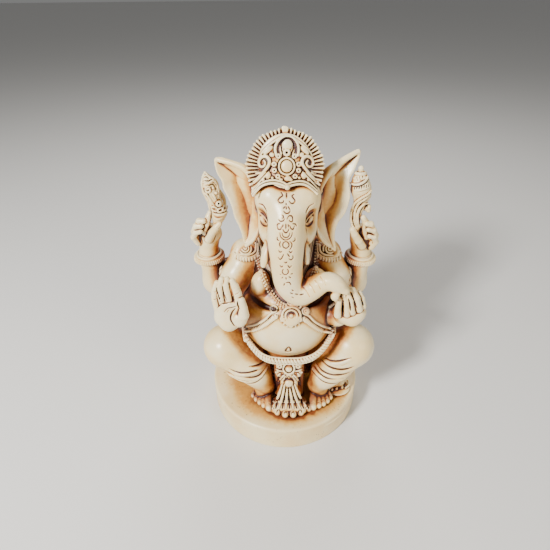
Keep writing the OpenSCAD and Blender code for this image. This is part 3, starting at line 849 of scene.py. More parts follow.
def ear_clay(side):
    """A large cupped ear with a thick rolled rim and a lobe that curls forward on the shoulder."""
    # outline of the shell from the front: (out from the head's middle, height)
    if side < 0:
        low, high, tip, over = (-62, -40, 196), (-14, 8, 288), (55.5, 275.6), 273.5
        rim = [(18, 262), (26, 268.5), (33.4, 271), (39.8, 274), (46.5, 276.5), (53, 277.8), (57.5, 275.5),
               (56.5, 266), (52.5, 259), (52, 254), (48.5, 247), (45.5, 239.5), (43.5, 231), (40.5, 225),
               (38, 218), (36.5, 211), (31, 212), (25.5, 220), (20, 228), (18, 244)]
    else:
        low, high, tip, over = (14, -40, 194), (63, 8, 294), (53, 281.6), 276
        rim = [(17, 262), (28.3, 271), (37.2, 276), (46, 280.6), (53.6, 283.4), (55, 279), (53.3, 273),
               (51.2, 267.5), (48, 261.5), (48.2, 256.5), (49.3, 252), (49, 244.7), (46.2, 234.8),
               (40.5, 227), (38.6, 217), (40, 204), (33, 210), (26, 219), (20, 228), (17, 244)]
    clay = Clay(low, high, 0.55)
    x = clay.axes[0][:, None]
    z = clay.axes[2][None, :]
    out = np.abs(x - 2)
    shape = outline_distance(out, z, smooth(rim + rim[:1], 3))
    spread = np.clip((out - 22) / 30, 0, 1.3)
    rise = np.clip((z - 208) / 70, 0, 1.1)
    middle = -29 + 17 * rise ** 0.8 + 5 * spread
    cup = 7.5 * np.clip(-shape / 11, 0, 1) ** 0.8
    fold = 0.5 * np.sin((out - 0.35 * (z - 240)) * 0.42) * np.clip(-shape / 9, 0, 1)
    front = middle + cup + fold - 1.8
    back = middle + cup * 0.75 + 2.0 + 1.2 * np.clip(-shape / 6, 0, 1)
    y = clay.axes[1][None, :, None]
    sheet = np.maximum(front[:, None, :] - y, y - back[:, None, :]) * 0.86
    clay.depth = -meet(-sheet, -np.broadcast_to(shape[:, None, :], sheet.shape), 2.4).astype(np.float32)

    def at(outward, height, lift=0.0):
        """A place on the middle of the shell, lift mm forward of it."""
        across = 2 + side * outward
        i = np.clip(int(round((across - clay.low[0]) / clay.step)), 0, len(clay.axes[0]) - 1)
        k = np.clip(int(round((height - clay.low[2]) / clay.step)), 0, len(clay.axes[2]) - 1)
        return across, float(middle[i, k]) - lift, height

    upper = [(*at(*tip), 1.5), (*at(42, over, 0.4), 2.2), (*at(32, 269.5, 1), 2.9), (*at(25, 260, 2), 3.1),
             (*at(20.5, 248, 3.5), 2.6), (*at(19.5, 238, 4.5), 2.0)]
    clay.ridge(smooth(upper, 1.5), 1.3)
    lobe = [(*at(19.5, 238, 5), 1.8), (*at(22, 228, 6.5), 2.0), (*at(27, 219, 6), 2.0),
            (*at(34, 211, 2.5), 1.7)]
    clay.ridge(smooth(lobe, 1.5), 1.2)
    # the ear hole by the root
    hole = at(23.5, 243, -4)
    clay.cut(egg((hole[0], hole[1] - 3, hole[2]), (2.4, 5, 6.5), (0, side * -8, 0)), blend=3)
    return clay


# ---- crown ----

# The drawing's centre, the middle of the plate's own plane, and how far that plane leans back.
CROWN = (1.2, -39, 278)
CROWN_MIDDLE = (-0.6, -31.5, 278)
CROWN_LEAN = 18


def crown_axes(clay):
    """Across, up and outward distances from the crown's middle, on its leaning plane."""
    a = math.radians(CROWN_LEAN)
    x = clay.axes[0][:, None, None] - CROWN_MIDDLE[0]
    y = clay.axes[1][None, :, None] - CROWN_MIDDLE[1]
    z = clay.axes[2][None, None, :] - CROWN_MIDDLE[2]
    return x, y * math.sin(a) + z * math.cos(a), -y * math.cos(a) + z * math.sin(a)


def crown_front_clay():
    """The arched plate: a stone in a double ring, a drop above it, scrolls, and bands over the brow."""
    clay = Clay((-29, -58, 250), (28, -18, 306), 0.34)
    across, up, out = crown_axes(clay)
    wide = np.abs(across)
    dome = (6.4 - 0.011 * across ** 2 + 0.022 * np.minimum(up - 2, 0) ** 2
            - 0.004 * np.maximum(up - 2, 0) ** 2 - 0.035 * np.maximum(wide - 13, 0) ** 2)
    face = (out - dome) * 0.88
    edge = (np.sqrt((across / 20.6) ** 2 + ((up - 0.3) / 23.8) ** 2) - 1) * 21
    side = np.maximum(wide - 20.6 + 0.22 * up, up)
    edge = np.minimum(edge, side)
    under = -12.8 + 2.7 * np.exp(-(wide - 10) ** 2 / 30) - 0.05 * np.maximum(wide - 14, 0) ** 2
    body = np.maximum(np.maximum(face, edge), np.maximum(under - up, -out - 6))
    clay.depth = np.minimum(body, FAR).astype(np.float32)
    draw = Drawing(clay, CROWN)
    draw.shift = (-1.63, 2.05)
    draw.scale = 0.943
    # the stone in its double ring
    draw.cut_line(oval(1.2, 2.7, 4.9, 5.3), 0.55, 0.8, 0.2, 0)
    draw.raise_line(oval(1.2, 2.7, 5.8, 6.2), 0.75, 0.55, 0.2)
    draw.cut_line(oval(1.2, 2.7, 6.9, 7.1), 0.5, 0.9, 0.2, 0)
    draw.pad(1.2, 2.7, 4.1, 4.5, 1.7)
    # the drop above it, its ringed bead and the horseshoe round them
    drop = [(-1.6, 9.8), (-1.6, 12.2), (-2.5, 14.7), (-2.8, 18.3), (-2, 21), (1.6, 23), (5.3, 21), (6.3, 18),
            (5.7, 14.7), (4.4, 12), (4.5, 9.5), (1.3, 9.2), (-1.6, 9.8)]
    draw.cut_line(drop, 0.6, 1.2, 0.2, 0)
    draw.pad(1.7, 18.9, 3.7, 4.0, 1.8)
    draw.raise_line(oval(1.2, 13, 1.9), 0.95, 0.6, 0.3)
    draw.hole(1.2, 13, 0.6, 1.4)
    arch = [(-6.5, 11), (-7.4, 14.7), (-7, 18.3), (-5, 21.6), (-1.6, 24.4), (1.6, 25.2), (5.2, 24.4),
            (8.4, 21.2), (9.8, 18), (10.1, 14.7), (9.5, 11)]
    draw.raise_line(arch, 0.95, 0.8, 0.3)
    draw.cut_line([(a * 0.74 + 0.4, b * 0.86 + 2.2) for a, b in arch], 1.1, 0.8, 0.5, 0.4)
    for end in (arch[:4], arch[-4:]):
        draw.cut_line([(a * 1.16 - 0.2, b + 0.4) for a, b in end], 0.5, 1.0, 0.2, 0.4)
    # the narrow band inside the fluted rim
    for side in (-1, 1):
        band = [(side * 20.4 + 1, 4), (side * 19.4 + 0.8, 10), (side * 16.4 + 0.8, 15),
                (side * 12.6 + 0.7, 18.6), (side * 7.4 + 1, 22.6), (side * 3 + 1.2, 25.6)]
        draw.raise_line(band, 0.8, 0.5, 0.2, 0.3)
        draw.cut_line([(a - side * 1.3, b - 0.9) for a, b in band], 0.45, 0.8, 0.2, 0.4)
        # leaf, square and beads beside the stone
        draw.pad(side * 13.4 + 0.8, 14.8, 4.2, 1.9, 1.6, -side * 40)
        draw.pad(side * 10.9 + 1.2, 11.3, 2.0, 1.7, 1.5, side * 20)
        for a, b in ((6, 10.3), (9.2, 4.3), (9, -0.4), (6.4, -4.8)):
            draw.raise_line(oval(side * a + 1, b, 1.15), 0.85, 0.6, 0.3)
            draw.hole(side * a + 1, b, 0.5, 1.3)
        for a, b, broad, tall in ((13, -4.4, 2.1, 2.7), (16.7, -7.4, 1.3, 1.4), (10, -6, 1.1, 1.1),
                                  (3.6, -7.4, 1.6, 1.2)):
            draw.pad(side * a + 0.5, b, broad, tall, 1.3)
            draw.cut_line(oval(side * a + 0.5, b, broad + 0.5, tall + 0.5), 0.35, 0.6, 0.15, 0)
        # the great scroll, thick at its root and curling in on itself
        scroll = [(24, -9), (18.2, -3.4), (14.4, 1), (12.3, 4.6), (12.5, 8), (15, 10.2), (18.4, 9.2),
                  (20, 6), (19, 2.8), (16.6, 2.6), (15.2, 5), (16.2, 7)]
        draw.raise_line(sided(scroll, side), 1.25, 0.8, 0.2, 0.35)
        behind = [(13, -2), (10.8, 3), (10.9, 8), (13.4, 12)]
        draw.cut_line(sided(behind, side, 0.6), 0.5, 1.0, 0.2, 0.4)
        draw.raise_line(sided([(23.4, 0.6), (21.6, -2.4), (17.4, -1.8)], side, 0.4), 1.0, 0.5, 0.3, 0.4)
        # double ridges that sweep down to the temple
        draw.raise_line(sided([(12.6, -1.5), (18, -7.4), (23.4, -13.4)], side), 0.7, 0.9, 0.2, 0.3)
        outer = sided([(15, -1.8), (20, -6.8)], side) + sided([(25, -11.2)], side, 0.4)
        draw.raise_line(outer, 0.7, 0.7, 0.2, 0.3)
    draw.pad(2, -6.6, 2.7, 2.0, 1.5)
    # the triple band that dips to the bead on the brow
    band = [(-24, -16.4), (-21, -12.6), (-17.6, -9.4), (-13, -7.6), (-7.4, -7.2), (-2, -8.6), (1.4, -10.2),
            (5, -8.8), (11, -7.8), (15.8, -8.8), (20, -11.6), (24, -15.2)]
    draw.cut_line([(a, b + 0.7) for a, b in band], 0.5, 1.0, 0.2, 0.1)
    draw.raise_line([(a, b - 0.5) for a, b in band], 0.75, 1.0, 0.2)
    draw.cut_line([(a, b - 1.6) for a, b in band], 0.45, 0.5, 0.2, 0.1)
    draw.raise_line([(a, b - 2.7) for a, b in band], 0.85, 1.1, 0.2)
    draw.bead(1.6, -13, 1.95, 1.0, 0.4)
    return clay


def crown_rim_clay():
    """The fluted rim behind the plate, with a small tab at its top."""
    clay = Clay((-33, -48, 252), (32, -8, 312), 0.4)
    across, up, out = crown_axes(clay)
    rise = up - 0.5
    reach = np.sqrt(across ** 2 + (rise * 1.035) ** 2)
    around = np.arctan2(rise, across)
    wave = np.abs(np.cos(around * 29))
    ragged = 0.4 * np.sin(around * 9.0) + 0.3 * np.sin(around * 23.0 + 1)
    tab = np.exp(-((around - math.pi / 2) / 0.075) ** 2)
    wave = wave * (1 - tab) + tab
    front = -0.2 + 2.6 * wave - 0.012 * (reach - 24) ** 2
    outer = 27.2 + 1.2 * wave + ragged + 0.9 * tab
    inner = 18.4 + 0.12 * np.maximum(rise, 0)
    sheet = np.maximum((out - front) * 0.8, -out - 3.8 - 0.6 * wave)
    body = np.maximum(np.maximum(sheet, reach - outer), inner - reach)
    body = np.maximum(body, -(up + 14.5))
    clay.depth = np.minimum(body, FAR).astype(np.float32)
    return clay


def crown_cap_clay():
    clay = Clay((-32, -42, 244), (36, 26, 304), 0.6)
    clay.add(egg((1, -6, 262), (26.6, 28.5, 31)))
    clay.add(egg((1, -3, 262), (27.4, 27.5, 11)), blend=3)
    # ribs over the dome from the crown's front to the nape, and two bands round its foot
    for i in range(-5, 6):
        a = math.radians(i * 15)
        line = []
        for j in range(13):
            b = math.radians(20 + j * 13)
            line.append((1 + 27 * math.sin(a) * math.sin(b), -6 - 28.8 * math.cos(b),
                         262 + 31.2 * math.cos(a) * math.sin(b), 0.9))
        clay.groove(smooth(line, 3), 0.7)
    for z, r in ((252, 27.8), (257, 27.2)):
        clay.add(ring((1, -5.5, z), r, 1.3), blend=0.8)
    for a in around(44):
        clay.add(ball((1 + 27.6 * math.cos(a), -5.5 + 27.6 * math.sin(a), 254.5), 1.15), blend=0.3)
    clay.clip_below(248.5)
    clay.cut(HEAD[0])
    return clay


# ---- rear arms, hands and what they hold ----

# Where the two held things are drawn from.
BUD = (-58, -8, 240)
CONCH = (62, -8, 240)
# The height where the raised arms end and the hands begin, inside the bangles.
WRIST = 186.5


def rear_arm_clay(side):
    low, high = ((-88, -14, 130), (-26, 26, 200)) if side < 0 else ((26, -14, 130), (86, 26, 200))
    clay = Clay(low, high, 0.8)
    clay.depth = clay.field(rear_arm_forms(side), 9)
    clay.share(CHEST, 9, 7)
    clay.depth = np.maximum(clay.depth, clay.axes[2][None, None, :] - WRIST)
    return clay


def rear_bangle_clay(side):
    x = -70 if side < 0 else 68.3
    clay = Clay((x - 17, -17, 173), (x + 17, 18, 192), 0.42)
    tilt = (2, side * 3, 0)
    clay.add(ring((x, 0.5, 181.5), 11.2, 2.4, tilt, 1.25))
    clay.add(ring((x, 0.5, 185), 10.6, 1.3, tilt), blend=0.3)
    # ribs round it, split by a line into two rows
    for a in around(46):
        c, s = math.cos(a), math.sin(a)
        top = (x + 13.5 * c, 0.5 + 13.5 * s, 183.2 + side * 0.5 * -c)
        low = (x + 13.7 * c, 0.5 + 13.7 * s, 180.4 + side * 0.5 * -c)
        clay.ridge([(*top, 0.62), (*low, 0.75)], 0.3)
    clay.cut(ring((x, 0.5, 183.9), 13.6, 0.45, tilt), blend=0.2)
    clay.cut(ring((x, 0.5, 178.9), 12.6, 0.5, tilt), blend=0.2)
    return clay


def add_fingers(clay, joints):
    """Four fingers and a thumb, each through four joints (x, y, z, radius)."""
    for first in range(0, len(joints), 4):
        clay.add(*rods(joints[first:first + 4]), blend=0.7)


def right_rear_hand_clay():
    clay = Clay((-86, -22, 178), (-50, 16, 238), 0.42)
    clay.add(rod((-70, 0, 180), (-69, 1, 196), 9.6, 8.6))
    clay.add(egg((-68, 0, 205), (9.4, 9, 10.5)), blend=6)
    clay.add(egg((-62, -2, 208), (6, 6, 7)), blend=4)
    add_fingers(clay, stand_at(BUD, 0, [
        (-4.2, -8.6, -1, 2.3), (-5.4, -12, 0, 2.7), (-7, -17.5, 1, 3.1), (-8, -24, 0, 3.6),
        (-9.6, -15.5, 4, 2.4), (-13.2, -15.5, 3, 2.7), (-15, -19.5, 0, 2.8), (-13, -25, -3, 3),
        (-11.5, -19.5, 5, 2.4), (-15.6, -19.6, 4, 2.7), (-17.2, -24, 0, 2.8), (-14, -29, -3, 3),
        (-12, -24, 6, 2.2), (-16, -24.6, 4.5, 2.5), (-17.8, -28.6, 1, 2.6), (-14, -33, -2, 3),
        (3.5, -17.5, 4.5, 2.4), (1.2, -20.5, 5, 2.9), (-2.4, -25, 4, 3.4), (-5, -30, 1, 4),
    ]))
    draw = Drawing(clay, (-68, -12, 205))
    draw.cut_line([(-6.5, 6), (-4, 1), (-3.4, -4)], 0.4, 0.5, 0.3, 0.6)
    return clay


def left_rear_hand_clay():
    clay = Clay((50, -22, 178), (88, 16, 240), 0.42)
    clay.add(rod((68.3, 0, 180), (67.5, 1, 196), 9.6, 8.8))
    clay.add(egg((66.5, 0, 205), (9.6, 9, 10.5)), blend=6)
    add_fingers(clay, stand_at(CONCH, 0, [
        (1.4, -12.2, 4, 2.3), (3, -15.4, 3, 2.7), (3.4, -20, 1, 3.1), (3.5, -27, -1, 3.8),
        (4.4, -17.4, 6, 2.2), (7.4, -17.6, 5, 2.6), (9, -22, 2, 2.8), (7, -28, -1, 3.2),
        (5.8, -22, 6.5, 2.2), (9.8, -22.6, 5, 2.5), (11.4, -27, 2, 2.7), (8, -32, -1, 3.2),
        (6.5, -27.5, 6, 2.1), (10, -28, 5, 2.4), (11.6, -32, 2, 2.5), (8, -36, -1, 3),
        (-7.5, -22, 4, 2.5), (-5.6, -26, 4, 3), (-2.6, -31, 3, 3.6), (0, -35, 0, 4),
    ]))
    return clay


def bud_clay():
    """An ornate bud: two rolled petals over a stem, with a drilled bead and a cup of leaves."""
    clay = Clay((-74, -18, 206), (-44, 14, 272), 0.36)
    body = [(-8.4, 24.6, 0, 1.0), (-7.6, 21, 0, 3.0), (-5.4, 15.7, 0, 6.2), (-3.6, 10, 0, 6.8),
            (-2, 5, 0, 6.0), (0.4, 0, 0, 5.4), (2.6, -4.5, 0, 5.2), (3.8, -8, 0, 6.0),
            (2.8, -12, 0, 5.2), (1.4, -17, 0, 3.2)]
    clay.add(*rods(stand_at(BUD, 4, body)), blend=1.5)
    draw = Drawing(clay, BUD)
    # overlapping petals, each a rounded blade with a rib and a rolled edge
    petals = [
        [(-8.3, 25), (-10.4, 19.5), (-10.8, 13.5), (-8.6, 6.4), (-5.2, 1.5)],
        [(-8.3, 25), (-4.2, 20.5), (0.4, 18.2), (2.6, 13), (2.6, 7.2), (3.2, 3.2)],
    ]
    for line in petals:
        draw.raise_line(line, 0.85, 0.5, 0.3, 0.4)
    draw.cut_line([(-9.2, 18.4), (-5.4, 17.4), (-1.6, 19.6)], 0.55, 1.1, 0.25, 0.5)
    draw.raise_line([(-9.6, 16.4), (-5.8, 15.6), (-1.4, 17.6), (1.6, 14.4), (2, 10.6)], 0.9, 0.6, 0.3, 0.4)
    draw.cut_line([(-8.8, 14), (-6, 13.6), (-2, 14.8), (0, 11.5), (0.2, 7)], 0.5, 1.0, 0.25, 0.5)
    draw.raise_line(spiral(-5.6, 10.2, 2.9, 0.8, 60, 1.3), 0.8, 0.6, 0.25, 0.3)
    draw.raise_line([(-8.6, 21.6), (-7.2, 22.2), (-5.4, 20.6)], 0.6, 0.4, 0.25, 0.4)
    draw.cut_line([(-8.6, 20.4), (-7, 20.8), (-5.2, 19.4)], 0.4, 0.6, 0.2, 0.5)
    draw.raise_line([(-8.4, 7.6), (-5.6, 4.6), (-3, 0.6), (-1.2, -2.2)], 1.0, 0.5, 0.3, 0.4)
    draw.cut_line([(-6.2, 8), (-4.6, 4.4), (-2.4, 0.6)], 0.75, 1.5, 0.3, 0.5)
    draw.raise_line([(-1.6, 6.8), (-0.4, 4.4), (0.8, 2)], 1.0, 0.5, 0.3, 0.5)
    draw.cut_line([(-1.4, 6.6), (0.2, 5)], 0.55, 0.9, 0.2, 0.4)
    draw.cut_line([(0.2, 3.6), (1.6, 2.2)], 0.5, 0.9, 0.2, 0.4)
    draw.bead(0.8, 7.6, 1.2, 0.3)
    draw.bead(-1.6, 11.8, 1.1, 0.3)
    # the drilled bead where the petals meet the cup
    draw.bead(3.0, -1.2, 2.7, 0.2, 0.3)
    draw.hole(3.0, -1.2, 1.0, 1.8)
    # the cup's leaves and its curled lip
    for centre, turn in (((-0.4, -5.6), -30), ((4.6, -6.4), 20), ((8.2, -4.6), 55)):
        draw.raise_line(oval(centre[0], centre[1], 2.7, 1.5, 20, 340, turn), 0.75, 0.5, 0.25, 0.3)
        draw.cut_line([(centre[0] - 0.8, centre[1]), (centre[0] + 0.9, centre[1] + 0.3)], 0.45, 0.8, 0.2, 0.4)
    draw.raise_line([(-1.8, -9.2), (2.2, -10.4), (6.8, -10), (10, -8)], 1.1, 0.7, 0.3, 0.4)
    draw.raise_line([(-1.4, -12.4), (2, -13.8), (6, -13.2)], 0.9, 0.5, 0.3, 0.4)
    # the back is closed with simple petals
    for i in range(5):
        x = -66.5 + i * 3.2
        inset = abs(i - 2) * 0.9
        petal = [(x + 2, 2.5 - inset, 226, 0.9), (x + 1, 4.6 - inset, 240, 1.5),
                 (-65.5 + i * 0.6, 1.5, 258, 0.7)]
        clay.ridge(smooth(petal, 1.5), 0.3)
    return clay


def conch_clay():
    """A conch held point down, with a knob on its crown and a scaled ridge that winds to the tip."""
    clay = Clay((46, -18, 204), (78, 14, 274), 0.36)
    body = [(-0.8, 20.5, 0, 5.6), (-0.9, 16.5, 0, 7.0), (-0.6, 11.5, 0, 8.0), (0.2, 6.5, 0, 7.2),
            (-1, 1.5, 0, 5.2), (-2.6, -3.6, 0, 4.6), (-4.6, -9, 0, 4.4), (-5.4, -14, 0, 4.2),
            (-5, -19, 0, 3.6), (-4.2, -23.4, 0, 2.2)]
    clay.add(*rods(stand_at(CONCH, 0, body)), blend=1.5)
    knob, neck, c = stand_at(CONCH, 0, [(-0.3, 28.0, 0), (-0.6, 25.2, 0), (-0.8, 24.6, 0)])
    clay.add(ball(knob, 2.05), egg(neck, (2.4, 2.4, 2.2)), blend=0.4)
    clay.add(ring((c[0], c[1], c[2] - 0.6), 3.7, 1.35, (-10, 0, 0)), blend=0.3)
    clay.add(ring((c[0] + 0.3, c[1] + 0.2, c[2] - 4.2), 5.4, 1.0, (-12, -8, 0)), blend=0.4)
    draw = Drawing(clay, CONCH)
    # whorls: the lip under the top turn, the slotted shoulder, and the scaled ridge that winds to the tip
    draw.raise_line([(-9.4, 16.2), (-6, 14.6), (-1, 15.2), (3.6, 18.2), (5, 21.4)], 1.0, 0.6, 0.3, 0.4)
    draw.cut_line([(-9.2, 14.4), (-6, 13.2), (-0.6, 13.8), (4, 16.6), (6.4, 20)], 0.55, 0.9, 0.2, 0.4)
    for a, b in ((-3.6, 19.4), (-1.2, 19.8), (1.2, 20.6)):
        draw.cut_line([(a - 0.5, b + 1.1), (a + 0.3, b - 1.3)], 0.4, 0.55, 0.2, 0.4)
    for i in range(7):
        a = -5.4 + i * 1.9
        b = 11.6 + 0.35 * i
        draw.cut_line([(a, b + 1.5), (a - 0.5, b - 1.3)], 0.48, 1.0, 0.2, 0.5)
    draw.raise_line([(-6.4, 9.2), (-2, 9.6), (3, 11), (7.2, 12.6)], 0.6, 0.4, 0.3, 0.4)
    scale = [(7.4, 9.4), (4.8, 6.6), (-0.7, 3.2), (-5.2, -0.6), (-7.9, -5.7), (-8.6, -10.4),
             (-8.6, -14.6), (-7, -19.6), (-4.6, -23)]
    draw.raise_line(scale, 1.0, 0.0, 0.4, 0.3)
    for a, b in smooth(scale, 1.75):
        draw.bead(a, b, 1.15, 0.35, 0.25)
    draw.cut_line([(a + 1.6, b - 0.9) for a, b in scale], 0.5, 1.0, 0.2, 0.4)
    upper = [(7, 6.4), (2.6, 2.6), (-1.8, -0.4), (-4.5, -4.6), (-5.6, -9), (-5.2, -14.2), (-2.6, -19.8)]
    lower = [(5.4, -0.6), (1.4, -1.8), (-1.8, -5.4), (-3.4, -10.4), (-3, -16.4), (-1.4, -20)]
    for line, r in ((upper, 1.0), (lower, 1.15)):
        draw.raise_line(line, r, 0.5, 0.25, 0.4)
        draw.cut_line([(a + 1.3, b - 0.7) for a, b in line], 0.45, 0.8, 0.2, 0.5)
    curl = [(3.6, -4.4, 0.5, 2.5), (5.4, -3.4, 1.5, 2.2), (5.6, -6.4, 1.5, 1.9)]
    clay.add(*rods(stand_at(CONCH, 0, curl)), blend=0.8)
    draw.cut_line([(2.6, -1.4), (4.6, -2.8), (4.2, -5.4)], 0.45, 0.7, 0.2, 0.4)
    # turns of the shell on the back
    for z, r in ((256, 7.3), (250, 8.0), (243, 7.0), (236, 5.6), (229, 5.0)):
        turn = [(62 + r * 0.9, -4, z + 2, 0.5), (63, 2 + r * 0.35, z, 0.6), (61 - r * 0.9, -4, z - 3, 0.5)]
        clay.groove(smooth(turn, 1), 0.3)
    return clay


# ---- front arms and hands ----

def front_arm_clay(side):
    low, high = ((-64, -50, 128), (-22, 12, 204)) if side < 0 else ((22, -50, 128), (64, 12, 204))
    clay = Clay(low, high, 0.6)
    clay.depth = clay.field(side_arm(side), 7)
    clay.share(CHEST + rear_arm_forms(side), 9, 6)
    draw = Drawing(clay, (side * 45, -30, 165))
    draw.cut_line([(-side * 6, 2), (-side * 4, -6), (-side * 5, -12)], 1.1, 0.7, 0.8, 0.6)
    return clay


def blessing_hand_clay():
    """An open palm, fingers up, with its creases and the lines of the palm."""
    clay = Clay((-66, -72, 130), (-26, -34, 200), 0.42)
    hand = (-45, -58, 160)
    place = lambda rows: stand_at(hand, 8, rows)
    palm = place([(-9.5, 8.5, -2, 5.4), (-7.4, -1, -2, 5.6), (-1.6, -4.6, -2, 6.0), (6, -1, -2, 5.6),
                  (4.4, 11, -2, 4.8), (-3, 10.5, -2, 5.0), (-3, 3, -3, 6.4)])
    clay.add(*rods(palm), blend=5)
    clay.add(rod(palm[2][:3], (-47, -42, 148), 7, 9), blend=5)
    fingers = [
        [(-11.6, 8, 0, 3.5), (-13.6, 14.5, 0, 3.1), (-14, 21, 0, 2.75), (-12, 27.8, 0, 2.2)],
        [(-7, 9.5, 0.6, 3.3), (-9, 18, 0.6, 3.0), (-9.4, 25, 0.6, 2.75), (-8, 31, 0.4, 2.25)],
        [(-1.2, 11, 0.8, 3.4), (-3.2, 19.5, 0.8, 3.1), (-4.4, 26, 0.8, 2.85), (-3.6, 31, 0.4, 2.35)],
        [(6, 12.5, 0.8, 3.6), (5.2, 19, 0.8, 3.5), (3, 25, 0.8, 3.2), (0.6, 29.6, 0.2, 2.5)],
    ]
    for joints in fingers:
        clay.add(*rods(place(joints)), blend=0.35)
    thumb = place([(10, 1, 1.5, 5.2), (10, 7, 2.2, 3.6), (8.6, 13.2, 2.6, 2.85)])
    clay.add(*rods(thumb), blend=0.5)
    pad = place([(7.2, -0.8, 0.4)])[0]
    clay.add(facing_egg(pad[:3], np.array(hand) - EYE, RIGHT, 6.7, 8.6, 5.6), blend=0.7)
    draw = Drawing(clay, hand)
    for line in ([(-12.9, 26), (-11, 19), (-8.6, 11)], [(-7.6, 28), (-6.2, 20), (-3, 12)],
                 [(-3.2, 29.4), (-0.6, 22), (2.6, 16)]):
        draw.cut_line(line, 0.75, 1.7, 0.3, 0.5)
    # creases of the joints and the lines of the palm
    creases = [(-16, -12, 13.6, 14.6), (-16, -12.2, 20, 20.6), (-11, -8, 15, 15.8), (-11.6, -7.8, 23, 23.6),
               (-5, -1.4, 17.4, 18.2), (-6.4, -3, 24.6, 25.2), (2, 7, 17.6, 20), (0.6, 5, 22.8, 24.6),
               (4, 9.6, 14.4, 17)]
    for a, b, c, d in creases:
        draw.cut_line([(a, c), ((a + b) / 2, (c + d) / 2 - 0.4), (b, d)], 0.42, 0.5, 0.2, 0.6)
    draw.cut_line([(-11.6, 6.9), (-8, 10), (-3.6, 10.8), (0.6, 12), (3.6, 15)], 0.5, 0.7, 0.3, 0.6)
    draw.cut_line([(-6, 3.4), (-3, 6.2), (1.2, 7.2), (5.4, 8.4)], 0.5, 0.75, 0.3, 0.6)
    draw.cut_line([(3.4, 6.6), (0.2, 2), (-0.4, -3), (2.4, -8)], 0.6, 1.0, 0.4, 0.5)
    draw.cut_line([(5.4, 13), (5.4, 10), (7.4, 5.6)], 0.6, 1.2, 0.3, 0.5)
    draw.cut_line([(-4.4, 1.4), (-2.6, 4.4), (-0.4, 6)], 0.35, 0.35, 0.2, 0.6)
    return clay


def offering_hand_clay():
    """A hand with its fingers closed round the sweet."""
    clay = Clay((32, -72, 136), (78, -32, 196), 0.42)
    hand = (55, -60, 165)
    place = lambda rows: stand_at(hand, 6, rows)
    heel = place([(-5.4, -1.4, -5, 6.4), (0, -2, -4, 6.4), (4.6, 1.5, -5, 6.2), (-8.6, 2.6, -5, 5.2),
                  (2, 4, -5, 6)])
    clay.add(*rods(heel), blend=4)
    clay.add(rod(heel[1][:3], (50.5, -40, 148), 6.6, 9.2), blend=5)
    fingers = [
        [(-11.6, -0.6, 1, 3.2), (-11.2, 6, 1.8, 2.5), (-9.8, 12, 0.8, 2.0)],
        [(-4, 0, 1.5, 3.0), (-4.2, 8, 2.2, 2.2), (-6.2, 15, 1.4, 1.9)],
        [(0.4, 1.5, 1.8, 2.8), (-1.2, 11, 2.4, 2.3), (-4, 18.6, 0, 2.1)],
        [(6, 4, 1, 3.1), (4.2, 13, 1.6, 2.7), (0.6, 19.6, -1, 2.5), (-6.6, 21.4, -3, 1.9)],
        [(9, 6.5, -2, 2.9), (8, 13, -2, 2.5), (6.2, 17.6, -4, 1.9)],
    ]
    for joints in fingers:
        clay.add(*rods(place(joints)), blend=0.7)
    draw = Drawing(clay, hand)
    for line in ([(-6.6, 11.5), (-7.4, 6), (-6, 0.6)], [(-3, 15), (-1.6, 8), (-0.8, 1.6)],
                 [(-0.6, 18.6), (1.8, 12), (4.4, 4.6)], [(7, 12.6), (8.6, 9), (9.6, 6.6)]):
        draw.cut_line(line, 0.75, 1.6, 0.4, 0.6)
    draw.cut_line(oval(-6.2, 15.1, 1.3, 1.7, 200, 520), 0.35, 0.4, 0.15, 0.3)
    draw.pad(-6.2, 15.1, 1.1, 1.5, 0.5, 0, 0.2)
    return clay


def bead_bangle_clay():
    clay = Clay((34, -46, 128), (68, -24, 162), 0.4)
    centre = np.array([50.5, -34, 145.5])
    clay.add(ring(centre, 11.3, 1.1, (84, 0, 0), 1.4))
    for i, a in enumerate(around(34)):
        bead = (centre[0] + 11.9 * math.cos(a), centre[1] - 0.6 - 1.2 * math.sin(a),
                centre[2] + 11.9 * math.sin(a))
        clay.add(ball(bead, 1.5 + 0.12 * math.sin(i * 2.4)), blend=0.2)
    return clay


def sweet_clay():
    clay = Clay((34, -66, 164), (66, -34, 196), 0.42)
    clay.add(egg((47.5, -52, 178), (8.6, 8.4, 8.0)))
    clay.add(egg((48, -51, 185), (3.2, 3.2, 4.6)), blend=4)
    # pleats pinched up to the point
    for a in around(15):
        pleat = [(47.5 + 8.6 * math.cos(a), -52 + 8.4 * math.sin(a), 175, 0.5),
                 (47.6 + 7.4 * math.cos(a + 0.1), -52 + 7.2 * math.sin(a + 0.1), 181.5, 0.6),
                 (48 + 2.6 * math.cos(a + 0.3), -51.2 + 2.6 * math.sin(a + 0.3), 186.5, 0.4)]
        clay.groove(smooth(pleat, 1), 0.3)
    return clay


# ---- necklaces, shoulder pieces and armlets ----

